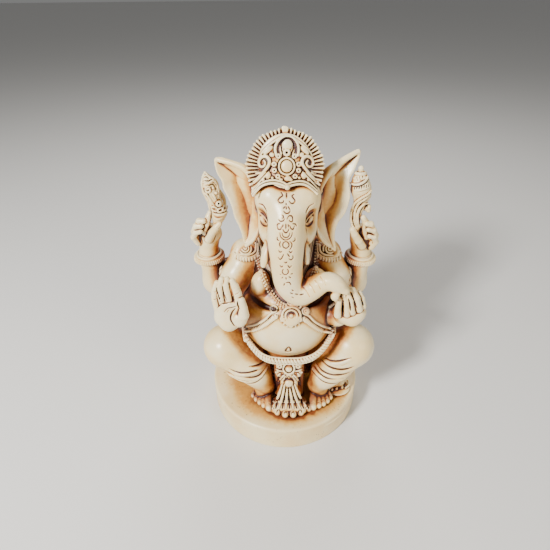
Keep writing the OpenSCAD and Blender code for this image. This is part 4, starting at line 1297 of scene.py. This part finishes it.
def collar_clay(side):
    """A scroll on the shoulder, with a double roll and a fringe of leaves under it."""
    low, high = ((-54, -44, 180), (-12, 8, 222)) if side < 0 else ((12, -44, 180), (56, 8, 222))
    clay = Clay(low, high, 0.4)
    skin = clay.field(CHEST + side_arm(-1) + side_arm(1), 9)
    draw = Drawing(clay, (-33, -20, 200) if side < 0 else (37, -20, 200), skin)
    draw.pad(side, 1.0, 9.0, 6.6, 1.5, -side * 20)
    draw.raise_line(spiral(side * 0.6, 2.6, 5.6, 0.5, 200, -side * 2.4), 0.85, 1.5, 0.2)
    roll = [(-8, 6), (-7.2, 0), (-2, -3), (5, -2.6), (10, 0.6)]
    draw.raise_line(sided(roll, side, 0), 0.95, 1.1, 0.2)
    edge = [(-9.8, 6.6), (-9, -1.4), (-3, -4.9), (5.6, -4.4), (11.4, -1)]
    draw.raise_line(sided(edge, side, 0), 0.7, 0.8, 0.2)
    # a fringe of short rounded leaves under the roll
    for i in range(9):
        a = -9.6 + i * 2.35
        lift = 0.035 * (a - side) ** 2
        draw.raise_line([(a, -5.2 + lift), (a + 0.2, -8.4 + lift)], 1.35, 0.1, 0.15, 0.2)
        draw.cut_line([(a, -5.4 + lift), (a + 0.2, -8 + lift)], 0.3, 0.0, 0.15, 0.5)
    return clay


def armlet_clay(side):
    """A beaded band round the upper arm, tilted with it, with leaves above and below."""
    low, high = ((-66, -30, 158), (-28, 8, 190)) if side < 0 else ((28, -30, 158), (66, 8, 190))
    clay = Clay(low, high, 0.4)
    centre = np.array([side * 46.6, -10.5, 173.0])
    tilt = (8, side * 16, 0)
    slope = math.tan(math.radians(16))

    def outward(a):
        return np.array([math.cos(a), math.sin(a), -side * math.cos(a) * slope + math.sin(a) * 0.14])

    clay.add(ring(centre, 11.4, 1.5, tilt, 1.5))
    for drop in (-2.6, 2.6):
        clay.add(ring(centre + [side * -0.26 * drop, 0, drop], 11.8, 0.8, tilt), blend=0.3)
    for a in around(26):
        clay.add(ball(centre + outward(a) * 12.4, 1.1), blend=0.2)
    # leaves that stand above and hang below the band
    for i in range(9):
        n = outward(math.radians(-90 + (i - 4) * 21 + side * 12))
        for way, length, reach in ((-1, 6.5, 11.2), (1, 4.5, 12.4)):
            top = centre + n * 12.2 + [0, 0, way * 2.6]
            tip = centre + n * reach + [-side * 0.28 * way * length, 0, way * (2.6 + length)]
            clay.ridge([(*top, 1.7), (*((top + tip) / 2), 1.6), (*tip, 0.6)], 0.4)
            out = n * [1.0, 1.0, 0]
            clay.groove([(*(top + out * 1.5), 0.35), (*(tip + out * 0.7), 0.3)], 0.2)
    return clay


def garland_clay():
    """A thick beaded strand from each shoulder to the medallion, with a thin double strand inside it."""
    clay = Clay((-34, -66, 156), (38, -4, 226), 0.4)
    draw = Drawing(clay, FACE, body_skin(clay))
    left = [(-26, 12), (-24.2, 6.4), (-22.2, -1), (-19.9, -8.8), (-16.8, -19), (-11.8, -29.2),
            (-6.4, -36.6), (-1, -40)]
    right = [(24, 12), (23.4, 5), (22.5, -3.7), (21.4, -12.2), (17.8, -22), (12.6, -30), (7, -36.6),
             (1.6, -40)]
    for line in (left, right):
        draw.raise_line(line, 1.9, 0.2, 0.3)
        path = smooth(line, 2.3)
        step = directions(path)
        across = np.stack([-step[:, 1], step[:, 0]], 1)
        for p, t, n in zip(path, step, across):
            draw.bead(*(p + n * 1.45), 1.05, 1.7, 0.15)
            draw.bead(*(p - n * 1.45 + t * 1.1), 1.05, 1.7, 0.15)
            draw.bead(*(p + t * 0.6), 0.75, 2.4, 0.15)
    inner_left = [(-21, 11), (-19, 4.7), (-15.9, -5.4), (-10.8, -16.4), (-5.9, -27), (0.4, -35.5)]
    inner_right = [(18.6, 12), (17.8, 6.4), (15.7, -5.4), (12.7, -13.9), (8.6, -23), (3, -34)]
    for line in (inner_left, inner_right):
        draw.raise_line(line, 1.15, 0.7, 0.2)
        draw.raise_line([(a * 1.09, b - 0.4) for a, b in line], 0.6, 0.35, 0.2)
    return clay


def medallion_clay():
    """A boss in two rings, with three curls, a fringe of rays and a small oval above."""
    clay = Clay((-12, -70, 138), (20, -44, 174), 0.36)
    draw = Drawing(clay, MEDALLION, body_skin(clay))
    c = (2.4, 5.4)
    draw.pad(c[0], c[1], 8.6, 8.4, 3.6)
    draw.raise_line(oval(c[0], c[1] + 0.4, 7.6, 7.4), 1.15, 2.2, 0.25)
    draw.raise_line(oval(c[0], c[1] + 0.4, 4.9, 4.8), 0.95, 3.2, 0.25)
    draw.pad(c[0], c[1] + 0.6, 2.6, 2.6, 5.2)
    for i in range(3):
        a = math.radians(200 + i * 70)
        curl = spiral(c[0] + 7.2 * math.cos(a), c[1] + 7.0 * math.sin(a), 2.5, 0.7, 90 + i * 60, 1.0)
        draw.raise_line(curl, 0.75, 2.6, 0.2)
    draw.pad(2.9, 15.2, 3.6, 3.0, 3.2)
    draw.raise_line(oval(2.9, 15.2, 3.9, 3.3), 0.6, 1.3, 0.2)
    for a, b in ((-3, 14), (8.8, 14)):
        draw.raise_line(oval(a, b, 1.7), 0.7, 1.4, 0.2)
        draw.hole(a, b, 0.45, 0.5)
    for i in range(7):
        a = math.radians(205 + i * 22)
        draw.raise_line([(c[0] + 7.4 * math.cos(a), c[1] + 7.2 * math.sin(a)),
                         (c[0] + 9.8 * math.cos(a), c[1] + 9.6 * math.sin(a))], 0.95, 1.0, 0.2, 0.3)
    return clay


def swag_clay(side):
    """A disc, a smooth tube and a ribbed band that hang from the medallion to one side."""
    low, high = ((-42, -66, 132), (-2, -28, 172)) if side < 0 else ((6, -66, 132), (50, -28, 172))
    clay = Clay(low, high, 0.4)
    draw = Drawing(clay, MEDALLION, body_skin(clay))

    def put(rows):
        return rows if side < 0 else [(2.4 - a, b - 1.8) for a, b in rows]

    disc = put([(-12.3, 11.5)])[0]
    draw.pad(disc[0], disc[1], 3.5, 3.5, 2.4)
    draw.raise_line(oval(disc[0], disc[1], 2.9), 0.7, 1.5, 0.2)
    draw.hole(disc[0], disc[1], 0.45, 0.6)
    far = -35 if side < 0 else -33
    tube = put([(-12.4, 8.6), (-15.4, 7.2), (-20, 2.6), (-27.4, -1.4), (far, -3.2)])
    draw.raise_line(tube, 1.25, 1.2, 0.2, 0.2)
    band = put([(-9.5, 5.4), (-12, 4.2), (-17.5, -0.2), (-23.6, -4), (-31, -6.6), (far - 1, -7.4)])
    band = smooth(band, 1.35)
    draw.raise_line(band, 1.5, 0.3, 0.3)
    for p, t in zip(band[1:-1], directions(band)[1:-1]):
        n = np.array([-t[1], t[0]])
        draw.raise_line([p + n * 1.7, p - n * 1.9], 0.62, 1.7, 0.12, 0.2)
    return clay


def mouse_clay():
    """A small crouching mouse with its tail curled round to the front."""
    clay = Clay((36, -46, 29), (76, -6, 54), 0.36)
    clay.add(egg((57, -25, 38), (7.6, 5.8, 5.8), (0, 0, 18)))
    clay.add(egg((51, -29, 40), (4.6, 4.0, 4.0), (0, 0, 30)), blend=3)
    clay.add(rod((49.4, -31, 39.2), (46.8, -34, 37.2), 2.6, 1.2), blend=1.5)
    for x, y in ((49.4, -26.4), (54, -29.4)):
        clay.add(egg((x, y, 44.6), (2.2, 1.2, 2.6), (20, 0, 0)), blend=0.4)
        clay.cut(egg((x, y - 1.3, 44.8), (1.3, 1.0, 1.6)), blend=0.3)
    clay.add(ball((47.6, -32.4, 40.6), 0.7), blend=0.1)
    clay.add(ball((50.8, -33, 40.8), 0.7), blend=0.1)
    for x, y, z in ((50, -32, 35), (55, -30.4, 34.4), (61, -28.6, 34)):
        clay.add(egg((x, y, z), (2.0, 2.8, 2.2)), blend=0.8)
    tail = [(63.4, -22, 37, 1.6), (68, -20, 35, 1.4), (69, -26, 34, 1.1), (65, -30, 33.6, 0.9)]
    clay.ridge(smooth(tail, 1), 0.6)
    clay.add(egg((56, -27, 31), (14, 11, 2.8)), blend=1)
    clay.clip_below(STAND - 1.5)
    return clay


# ---- casting: clay to mesh, with the places where the wash settles and where shade is painted ----

# A crease is where the distance, blurred over so many mm, differs from the surface by its own full mm.
CREASE_BAND = 2.2
FINE_BLUR, FINE_FULL = 0.8, 0.3
BROAD_BLUR, BROAD_FULL = 1.7, 0.95
# The figure's surroundings are read on a grid of 1 mm cells.
ROOM_LOW = np.array([-96.0, -92.0, -12.0])
ROOM_CELLS = (193, 185, 333)
# Each reading: mm out from the surface, the share of solid that counts as open, and the span to full. The
# hollow reading marks tight joins for wash and painted shade, and the shelter readings mark room between
# forms for painted shade.
HOLLOW_WASH_AND_SHADE = (1.3, 0.27, 0.35)
SHELTER_PAINTED_SHADE = (5.0, 0.22, 0.40)
WIDE_SHELTER_PAINTED_SHADE = (12.0, 0.13, 0.30)

def blurred(field, cells):
    """A box blur over a number of cells each way, run twice."""
    out = field
    for _ in range(2):
        for axis in range(3):
            n = out.shape[axis]
            reach = min(cells, n // 2)
            if reach < 1:
                continue
            pad = [(0, 0)] * 3
            pad[axis] = (reach + 1, reach)
            total = np.cumsum(np.pad(out, pad, mode="edge"), axis=axis, dtype=np.float64)
            high = np.take(total, np.arange(2 * reach + 1, 2 * reach + 1 + n), axis=axis)
            low = np.take(total, np.arange(0, n), axis=axis)
            out = ((high - low) / (2 * reach + 1)).astype(np.float32)
    return out


class Cast:
    """The surface of one clay: points, faces, how creased each point is, and which way it faces."""

    def __init__(self, clay):
        outside = 3.0
        solid = np.pad(np.clip(clay.depth, -outside, outside), 1, constant_values=outside)
        solid = solid.astype(np.float32)
        grid = openvdb.FloatGrid(outside)
        grid.copyFromArray(solid)
        points, threes, fours = grid.convertToPolygons(isovalue=0.0, adaptivity=THRIFT)
        self.points = clay.low + (points.astype(np.float64) - 1) * clay.step
        self.corners = np.concatenate([threes.ravel(), fours.ravel()]).astype(np.int32)
        self.sizes = np.repeat([3, 4], [len(threes), len(fours)]).astype(np.int32)
        band = np.clip(clay.depth, -CREASE_BAND, CREASE_BAND)
        soft = blurred(band, max(1, round(FINE_BLUR / clay.step)))
        softer = blurred(band, max(2, round(BROAD_BLUR / clay.step)))
        self.crease = np.maximum(-clay.sample(self.points, soft) / FINE_FULL,
                                 -clay.sample(self.points, softer) / BROAD_FULL)
        normal = np.stack([clay.sample(self.points + way) - clay.sample(self.points - way)
                           for way in np.eye(3) * clay.step], 1)
        self.normal = normal / np.maximum(np.linalg.norm(normal, axis=1), 1e-5)[:, None]


class Room:
    """How much solid there is round each point of the whole figure, near and far."""

    def __init__(self, clays):
        solid = np.zeros(ROOM_CELLS, np.float32)
        for clay in clays:
            picks, places = [], []
            for i in range(3):
                axis = clay.axes[i]
                first = int(math.ceil(axis[0] - ROOM_LOW[i]))
                last = int(math.floor(axis[-1] - ROOM_LOW[i]))
                cells = np.arange(max(0, first), min(ROOM_CELLS[i] - 1, last) + 1)
                at = (cells + ROOM_LOW[i] - axis[0]) / clay.step
                picks.append(np.clip(np.round(at).astype(int), 0, len(axis) - 1))
                places.append(slice(cells[0], cells[-1] + 1))
            part = np.clip(0.5 - clay.depth[np.ix_(*picks)], 0, 1)
            solid[tuple(places)] = np.maximum(solid[tuple(places)], part)
        self.near = blurred(solid, 2)
        self.far = blurred(solid, 6)
        self.wide = blurred(solid, 16)


def enclosed(cast, field, reading):
    """How closed in each point of a cast is, from 0 in the open to 1."""
    away, open_share, span = reading
    return (between_cells(field, cast.points + cast.normal * away - ROOM_LOW) - open_share) / span


def cast_mesh(name, cast, room, material):
    """The piece as a mesh in metres, with crease (wash), hollow (wash and painted shade) and shelter (painted
    shade) stored at its points.
    """
    mesh = bpy.data.meshes.new(name)
    mesh.vertices.add(len(cast.points))
    mesh.vertices.foreach_set("co", (cast.points * MM).astype(np.float32).ravel())
    mesh.loops.add(len(cast.corners))
    mesh.loops.foreach_set("vertex_index", cast.corners)
    mesh.polygons.add(len(cast.sizes))
    mesh.polygons.foreach_set("loop_start", (np.cumsum(cast.sizes) - cast.sizes).astype(np.int32))
    mesh.polygons.foreach_set("use_smooth", np.ones(len(cast.sizes), bool))
    # Hollow darkens tight joins and recesses: partly wash settled there, partly painted shade.
    hollow_wash_and_shade = enclosed(cast, room.near, HOLLOW_WASH_AND_SHADE)
    # Shelter is painted shade: an amber darkening where broad forms close round a point.
    shelter_painted_shade = np.maximum(enclosed(cast, room.far, SHELTER_PAINTED_SHADE), enclosed(cast, room.wide, WIDE_SHELTER_PAINTED_SHADE))
    for word, values in (("crease", cast.crease), ("hollow_wash_and_shade", hollow_wash_and_shade), ("shelter_painted_shade", shelter_painted_shade)):
        layer = mesh.attributes.new(word, "FLOAT", "POINT")
        layer.data.foreach_set("value", np.clip(values, -1, 1.5).astype(np.float32))
    mesh.update(calc_edges=True)
    mesh.validate()
    mesh.materials.append(material)
    piece = bpy.data.objects.new(name, mesh)
    bpy.context.scene.collection.objects.link(piece)
    return piece


# ---- finishes ----

def shade_group(name, inputs, outputs):
    """An empty node group with its sockets. Each input is (name, kind, value)."""
    group = bpy.data.node_groups.new(name, "ShaderNodeTree")
    for word, kind, value in inputs:
        socket = group.interface.new_socket(name=word, in_out="INPUT", socket_type=kind)
        if value is not None:
            socket.default_value = value
    for word, kind in outputs:
        group.interface.new_socket(name=word, in_out="OUTPUT", socket_type=kind)
    return group, group.nodes.new("NodeGroupInput"), group.nodes.new("NodeGroupOutput")


class Wires:
    """Short ways to add and join nodes in a tree."""

    def __init__(self, tree):
        self.tree = tree

    def node(self, kind, **settings):
        node = self.tree.nodes.new(kind)
        for key, value in settings.items():
            setattr(node, key, value)
        return node

    def join(self, source, target):
        self.tree.links.new(source, target)

    def feed(self, value, socket):
        if isinstance(value, bpy.types.NodeSocket):
            self.join(value, socket)
        else:
            socket.default_value = value

    def sum(self, operation, a, b=0.0, c=0.0, clamp=False):
        node = self.node("ShaderNodeMath", operation=operation, use_clamp=clamp)
        for value, socket in zip((a, b, c), node.inputs):
            self.feed(value, socket)
        return node.outputs[0]

    def remap(self, value, low, high, to_low=0.0, to_high=1.0):
        node = self.node("ShaderNodeMapRange", interpolation_type="SMOOTHSTEP")
        for item, socket in zip((value, low, high, to_low, to_high), node.inputs):
            self.feed(item, socket)
        return node.outputs[0]

    def mix(self, share, a, b, mode="MIX"):
        node = self.node("ShaderNodeMix", data_type="RGBA", blend_type=mode)
        self.feed(share, node.inputs[0])
        self.feed(a, node.inputs[6])
        self.feed(b, node.inputs[7])
        return node.outputs[2]

    def noise(self, place, scale, detail=3.0, rough=0.55):
        node = self.node("ShaderNodeTexNoise")
        self.join(place, node.inputs["Vector"])
        node.inputs["Scale"].default_value = scale
        node.inputs["Detail"].default_value = detail
        node.inputs["Roughness"].default_value = rough
        return node.outputs[0]

    def ramp(self, value, stops):
        node = self.node("ShaderNodeValToRGB")
        ramp = node.color_ramp
        ramp.interpolation = "EASE"
        while len(ramp.elements) < len(stops):
            ramp.elements.new(0.5)
        for element, (at, colour) in zip(ramp.elements, stops):
            element.position = at
            element.color = (*colour, 1)
        self.join(value, node.inputs[0])
        return node.outputs[0]


def wash_and_painted_shade_group():
    """How much wash and painted shade each point gets: wash thick in creases, wash and painted shade in
    hollows, painted shade between forms, and the wash wiped off the high places.
    """
    group, start, end = shade_group(
        "Wash and painted shade",
        [("Position", "NodeSocketVector", None), ("Crease", "NodeSocketFloat", 0.0),
         ("Hollow_wash_and_shade", "NodeSocketFloat", 0.0), ("Shelter_painted_shade", "NodeSocketFloat", 0.0),
         ("Amount", "NodeSocketFloat", 1.0), ("Unevenness", "NodeSocketFloat", 1.0)],
        [("Wash_and_shade", "NodeSocketFloat"), ("Raised", "NodeSocketFloat")])
    w = Wires(group)
    crease = w.remap(start.outputs["Crease"], 0.04, 0.70)
    hollow_wash_and_shade = w.remap(start.outputs["Hollow_wash_and_shade"], 0.02, 0.72)
    shelter_painted_shade = w.remap(start.outputs["Shelter_painted_shade"], -0.06, 0.80)
    total = w.sum("ADD", w.sum("MULTIPLY", crease, 0.60), w.sum("MULTIPLY", hollow_wash_and_shade, 0.50))
    # The shelter term adds painted shade between forms to the wash.
    total = w.sum("ADD", total, w.sum("MULTIPLY", shelter_painted_shade, 0.44))
    patches = w.sum("SUBTRACT", w.noise(start.outputs["Position"], 42.0, 3.0), 0.44)
    streaks = w.sum("SUBTRACT", w.noise(start.outputs["Position"], 330.0, 4.0, 0.6), 0.5)
    uneven = w.sum("ADD", w.sum("MULTIPLY", patches, 0.42), w.sum("MULTIPLY", streaks, 0.30))
    near = w.sum("ADD", total, 0.34)
    uneven = w.sum("MULTIPLY", w.sum("MULTIPLY", uneven, near), start.outputs["Unevenness"])
    wash = w.sum("MULTIPLY", w.sum("ADD", total, uneven), start.outputs["Amount"], clamp=True)
    w.join(wash, end.inputs["Wash_and_shade"])
    w.join(w.remap(w.sum("MULTIPLY", start.outputs["Crease"], -1.0), 0.1, 0.9), end.inputs["Raised"])
    return group


def cast_grain_group():
    """The fine grain, pin holes and dark specks of marble dust cast in a mould."""
    group, start, end = shade_group(
        "Cast grain",
        [("Position", "NodeSocketVector", None), ("Pits", "NodeSocketFloat", 0.3)],
        [("Height", "NodeSocketFloat"), ("Specks", "NodeSocketFloat"), ("Cloud", "NodeSocketFloat")])
    w = Wires(group)
    place = start.outputs["Position"]
    grain = w.noise(place, 2600.0, 3.0, 0.6)
    soft = w.noise(place, 420.0, 3.0, 0.5)
    cells = w.node("ShaderNodeTexVoronoi", feature="F1")
    w.join(place, cells.inputs["Vector"])
    cells.inputs["Scale"].default_value = 300.0
    cells.inputs["Randomness"].default_value = 1.0
    holes = w.remap(cells.outputs["Distance"], 0.10, 0.24, 1.0, 0.0)
    some = w.remap(w.noise(place, 90.0, 2.0), 0.50, 0.62)
    holes = w.sum("MULTIPLY", w.sum("MULTIPLY", holes, some), start.outputs["Pits"])
    height = w.sum("ADD", w.sum("MULTIPLY", grain, 0.22), w.sum("MULTIPLY", soft, 0.55))
    w.join(w.sum("SUBTRACT", height, w.sum("MULTIPLY", holes, 0.8)), end.inputs["Height"])
    w.join(holes, end.inputs["Specks"])
    w.join(w.noise(place, 28.0, 3.0), end.inputs["Cloud"])
    return group


# Tones of the wash and painted shade from a thin film to a full crease, edges rubbed back to pale resin, and
# the specks.
WASH_AND_SHADE_TONES = [(0.0, (0.86, 0.71, 0.40)), (0.12, (0.80, 0.54, 0.19)), (0.30, (0.62, 0.30, 0.060)),
              (0.50, (0.27, 0.070, 0.016)), (0.76, (0.050, 0.008, 0.004))]
RUBBED_TONE = (0.94, 0.85, 0.58)
SPECK_TONE = (0.20, 0.085, 0.03)
# Bare resin, pale and warm, for the skin, the carved ornament and the plinth.
SKIN_CREAM = ((0.90, 0.78, 0.49), (0.88, 0.67, 0.32))
CARVED_CREAM = ((0.90, 0.77, 0.48), (0.86, 0.64, 0.30))
PLINTH_CREAM = ((0.89, 0.74, 0.43), (0.84, 0.62, 0.30))


def resin_material(name, groups, bare_tone, amount, unevenness, pits, gloss):
    """Cream resin under a brown wash that was wiped back while wet, with shade painted into hollows and
    between forms.
    """
    material = bpy.data.materials.new(name)
    material.use_nodes = True
    tree = material.node_tree
    tree.nodes.clear()
    w = Wires(tree)
    place = w.node("ShaderNodeTexCoord").outputs["Object"]
    wash = w.node("ShaderNodeGroup", node_tree=groups["wash"])
    w.join(place, wash.inputs["Position"])
    for word in ("crease", "hollow_wash_and_shade", "shelter_painted_shade"):
        reader = w.node("ShaderNodeAttribute", attribute_name=word)
        w.join(reader.outputs["Fac"], wash.inputs[word.capitalize()])
    wash.inputs["Amount"].default_value = amount
    wash.inputs["Unevenness"].default_value = unevenness
    grain = w.node("ShaderNodeGroup", node_tree=groups["grain"])
    w.join(place, grain.inputs["Position"])
    grain.inputs["Pits"].default_value = pits
    pale, warm = bare_tone
    bare_resin = w.mix(w.remap(grain.outputs["Cloud"], 0.35, 0.65), (*pale, 1), (*warm, 1))
    # This level holds the wash and the painted shade together, and darkens the colour along the same tones.
    level = wash.outputs["Wash_and_shade"]
    colour = w.mix(w.remap(level, 0.02, 0.20), bare_resin, w.ramp(level, WASH_AND_SHADE_TONES))
    colour = w.mix(w.sum("MULTIPLY", wash.outputs["Raised"], 0.45), colour, (*RUBBED_TONE, 1))
    colour = w.mix(w.sum("MULTIPLY", grain.outputs["Specks"], 0.75), colour, (*SPECK_TONE, 1))
    bump = w.node("ShaderNodeBump")
    bump.inputs["Strength"].default_value = 0.5
    bump.inputs["Distance"].default_value = 0.00022
    w.join(grain.outputs["Height"], bump.inputs["Height"])
    shader = w.node("ShaderNodeBsdfPrincipled")
    w.join(colour, shader.inputs["Base Color"])
    rough = w.sum("ADD", gloss, w.sum("MULTIPLY", level, 0.18))
    rough = w.sum("ADD", rough, w.sum("MULTIPLY", w.sum("SUBTRACT", grain.outputs["Cloud"], 0.5), 0.16))
    w.join(rough, shader.inputs["Roughness"])
    w.join(bump.outputs["Normal"], shader.inputs["Normal"])
    shader.inputs["Subsurface Weight"].default_value = 0.06
    shader.inputs["Subsurface Radius"].default_value = (0.004, 0.0025, 0.0015)
    out = w.node("ShaderNodeOutputMaterial")
    w.join(shader.outputs[0], out.inputs["Surface"])
    return material


def finishes():
    """The three finishes, each with its cream, amount of wash and painted shade, unevenness, pits and gloss.
    """
    groups = {"wash": wash_and_painted_shade_group(), "grain": cast_grain_group()}
    return {
        "smooth": resin_material("smooth_resin", groups, SKIN_CREAM, 1.0, 1.0, 0.15, 0.30),
        "carved": resin_material("carved_resin", groups, CARVED_CREAM, 1.15, 1.0, 0.2, 0.34),
        "plinth": resin_material("plinth_resin", groups, PLINTH_CREAM, 0.66, 1.5, 1.0, 0.36),
    }


# ---- the whole figure ----

def pair(word, sculpt, finish):
    """The right and left pieces of a kind."""
    return [(f"{name}_{word}", sculpt, (side,), finish) for name, side in (("right", -1), ("left", 1))]


def all_pieces():
    """Each piece's name, which is also its CAD node's, its sculpting function, arguments and finish."""
    return [
        ("plinth", plinth_clay, (), "plinth"),
        ("footing", footing_clay, (), "plinth"),
        ("torso", torso_clay, (), "smooth"),
        *pair("leg", leg_clay, "smooth"),
        *pair("foot", foot_clay, "smooth"),
        ("front_cloth", cloth_clay, (), "carved"),
        ("belt", belt_clay, (), "carved"),
        ("belt_clasp", clasp_clay, (), "carved"),
        ("head", head_clay, (), "smooth"),
        ("trunk", trunk_clay, (), "smooth"),
        *pair("ear", ear_clay, "smooth"),
        *pair("tusk", tusk_clay, "smooth"),
        ("crown_cap", crown_cap_clay, (), "carved"),
        ("crown_front", crown_front_clay, (), "carved"),
        ("crown_rim", crown_rim_clay, (), "carved"),
        *pair("rear_arm", rear_arm_clay, "smooth"),
        ("right_rear_hand", right_rear_hand_clay, (), "smooth"),
        ("left_rear_hand", left_rear_hand_clay, (), "smooth"),
        *pair("rear_bangle", rear_bangle_clay, "carved"),
        ("lotus_bud", bud_clay, (), "carved"),
        ("conch", conch_clay, (), "carved"),
        *pair("front_arm", front_arm_clay, "smooth"),
        ("blessing_hand", blessing_hand_clay, (), "smooth"),
        ("offering_hand", offering_hand_clay, (), "smooth"),
        ("left_front_bangle", bead_bangle_clay, (), "carved"),
        ("sweet", sweet_clay, (), "carved"),
        *pair("collar", collar_clay, "carved"),
        *pair("armlet", armlet_clay, "carved"),
        ("garland", garland_clay, (), "carved"),
        ("medallion", medallion_clay, (), "carved"),
        *pair("swag", swag_clay, "carved"),
        ("mouse", mouse_clay, (), "smooth"),
    ]


def build_figure():
    rows = all_pieces()
    with ThreadPoolExecutor(4) as pool:
        clays = list(pool.map(lambda row: row[1](*row[2]), rows))
        casts = list(pool.map(Cast, clays))
    room = Room(clays)
    looks = finishes()
    for (name, _, _, finish), cast in zip(rows, casts):
        piece = cast_mesh(name + "_cast", cast, room, looks[finish])
        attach(piece, "root")
        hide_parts(name)


# ---- the room: floor, light and camera ----

def floor():
    mesh = bpy.data.meshes.new("floor")
    reach = 9.0
    corners = [(-reach, -reach, 0), (reach, -reach, 0), (reach, reach, 0), (-reach, reach, 0)]
    mesh.from_pydata(corners, [], [(0, 1, 2, 3)])
    ground = bpy.data.objects.new("floor", mesh)
    bpy.context.scene.collection.objects.link(ground)
    material = bpy.data.materials.new("pale_floor")
    material.use_nodes = True
    shader = material.node_tree.nodes["Principled BSDF"]
    shader.inputs["Base Color"].default_value = (0.72, 0.71, 0.69, 1)
    shader.inputs["Roughness"].default_value = 0.8
    mesh.materials.append(material)


def lamp(name, place, target, size, power, colour):
    data = bpy.data.lights.new(name, "AREA")
    data.shape = "RECTANGLE"
    data.size, data.size_y = size
    data.energy = power
    data.color = colour
    light = bpy.data.objects.new(name, data)
    light.location = place
    light.rotation_euler = (Vector(target) - Vector(place)).to_track_quat("-Z", "Y").to_euler()
    bpy.context.scene.collection.objects.link(light)


def lights():
    middle = (0, 0, 0.15)
    lamp("key_left", (-0.75, -0.85, 0.95), middle, (0.22, 0.22), 38.0, (1.0, 0.985, 0.95))
    lamp("fill_right", (0.95, -0.75, 0.55), middle, (0.5, 0.5), 7.0, (1.0, 0.93, 0.80))
    lamp("top_back", (0.1, 0.7, 1.1), middle, (0.6, 0.4), 6.0, (1.0, 0.98, 0.95))
    world = bpy.data.worlds.new("studio")
    world.use_nodes = True
    back = world.node_tree.nodes["Background"]
    back.inputs["Color"].default_value = (0.93, 0.93, 0.92, 1)
    back.inputs["Strength"].default_value = 0.22
    bpy.context.scene.world = world


def camera():
    data = bpy.data.cameras.new("camera")
    data.lens = LENS_MM
    data.sensor_width = 36
    data.clip_start = 0.02
    data.clip_end = 40
    eye = bpy.data.objects.new("camera", data)
    turn = Matrix([RIGHT, UP, -FORWARD]).transposed().to_4x4()
    eye.matrix_world = Matrix.Translation(Vector(EYE * MM)) @ turn
    bpy.context.scene.collection.objects.link(eye)
    bpy.context.scene.camera = eye


camera()
lights()
floor()
build_figure()
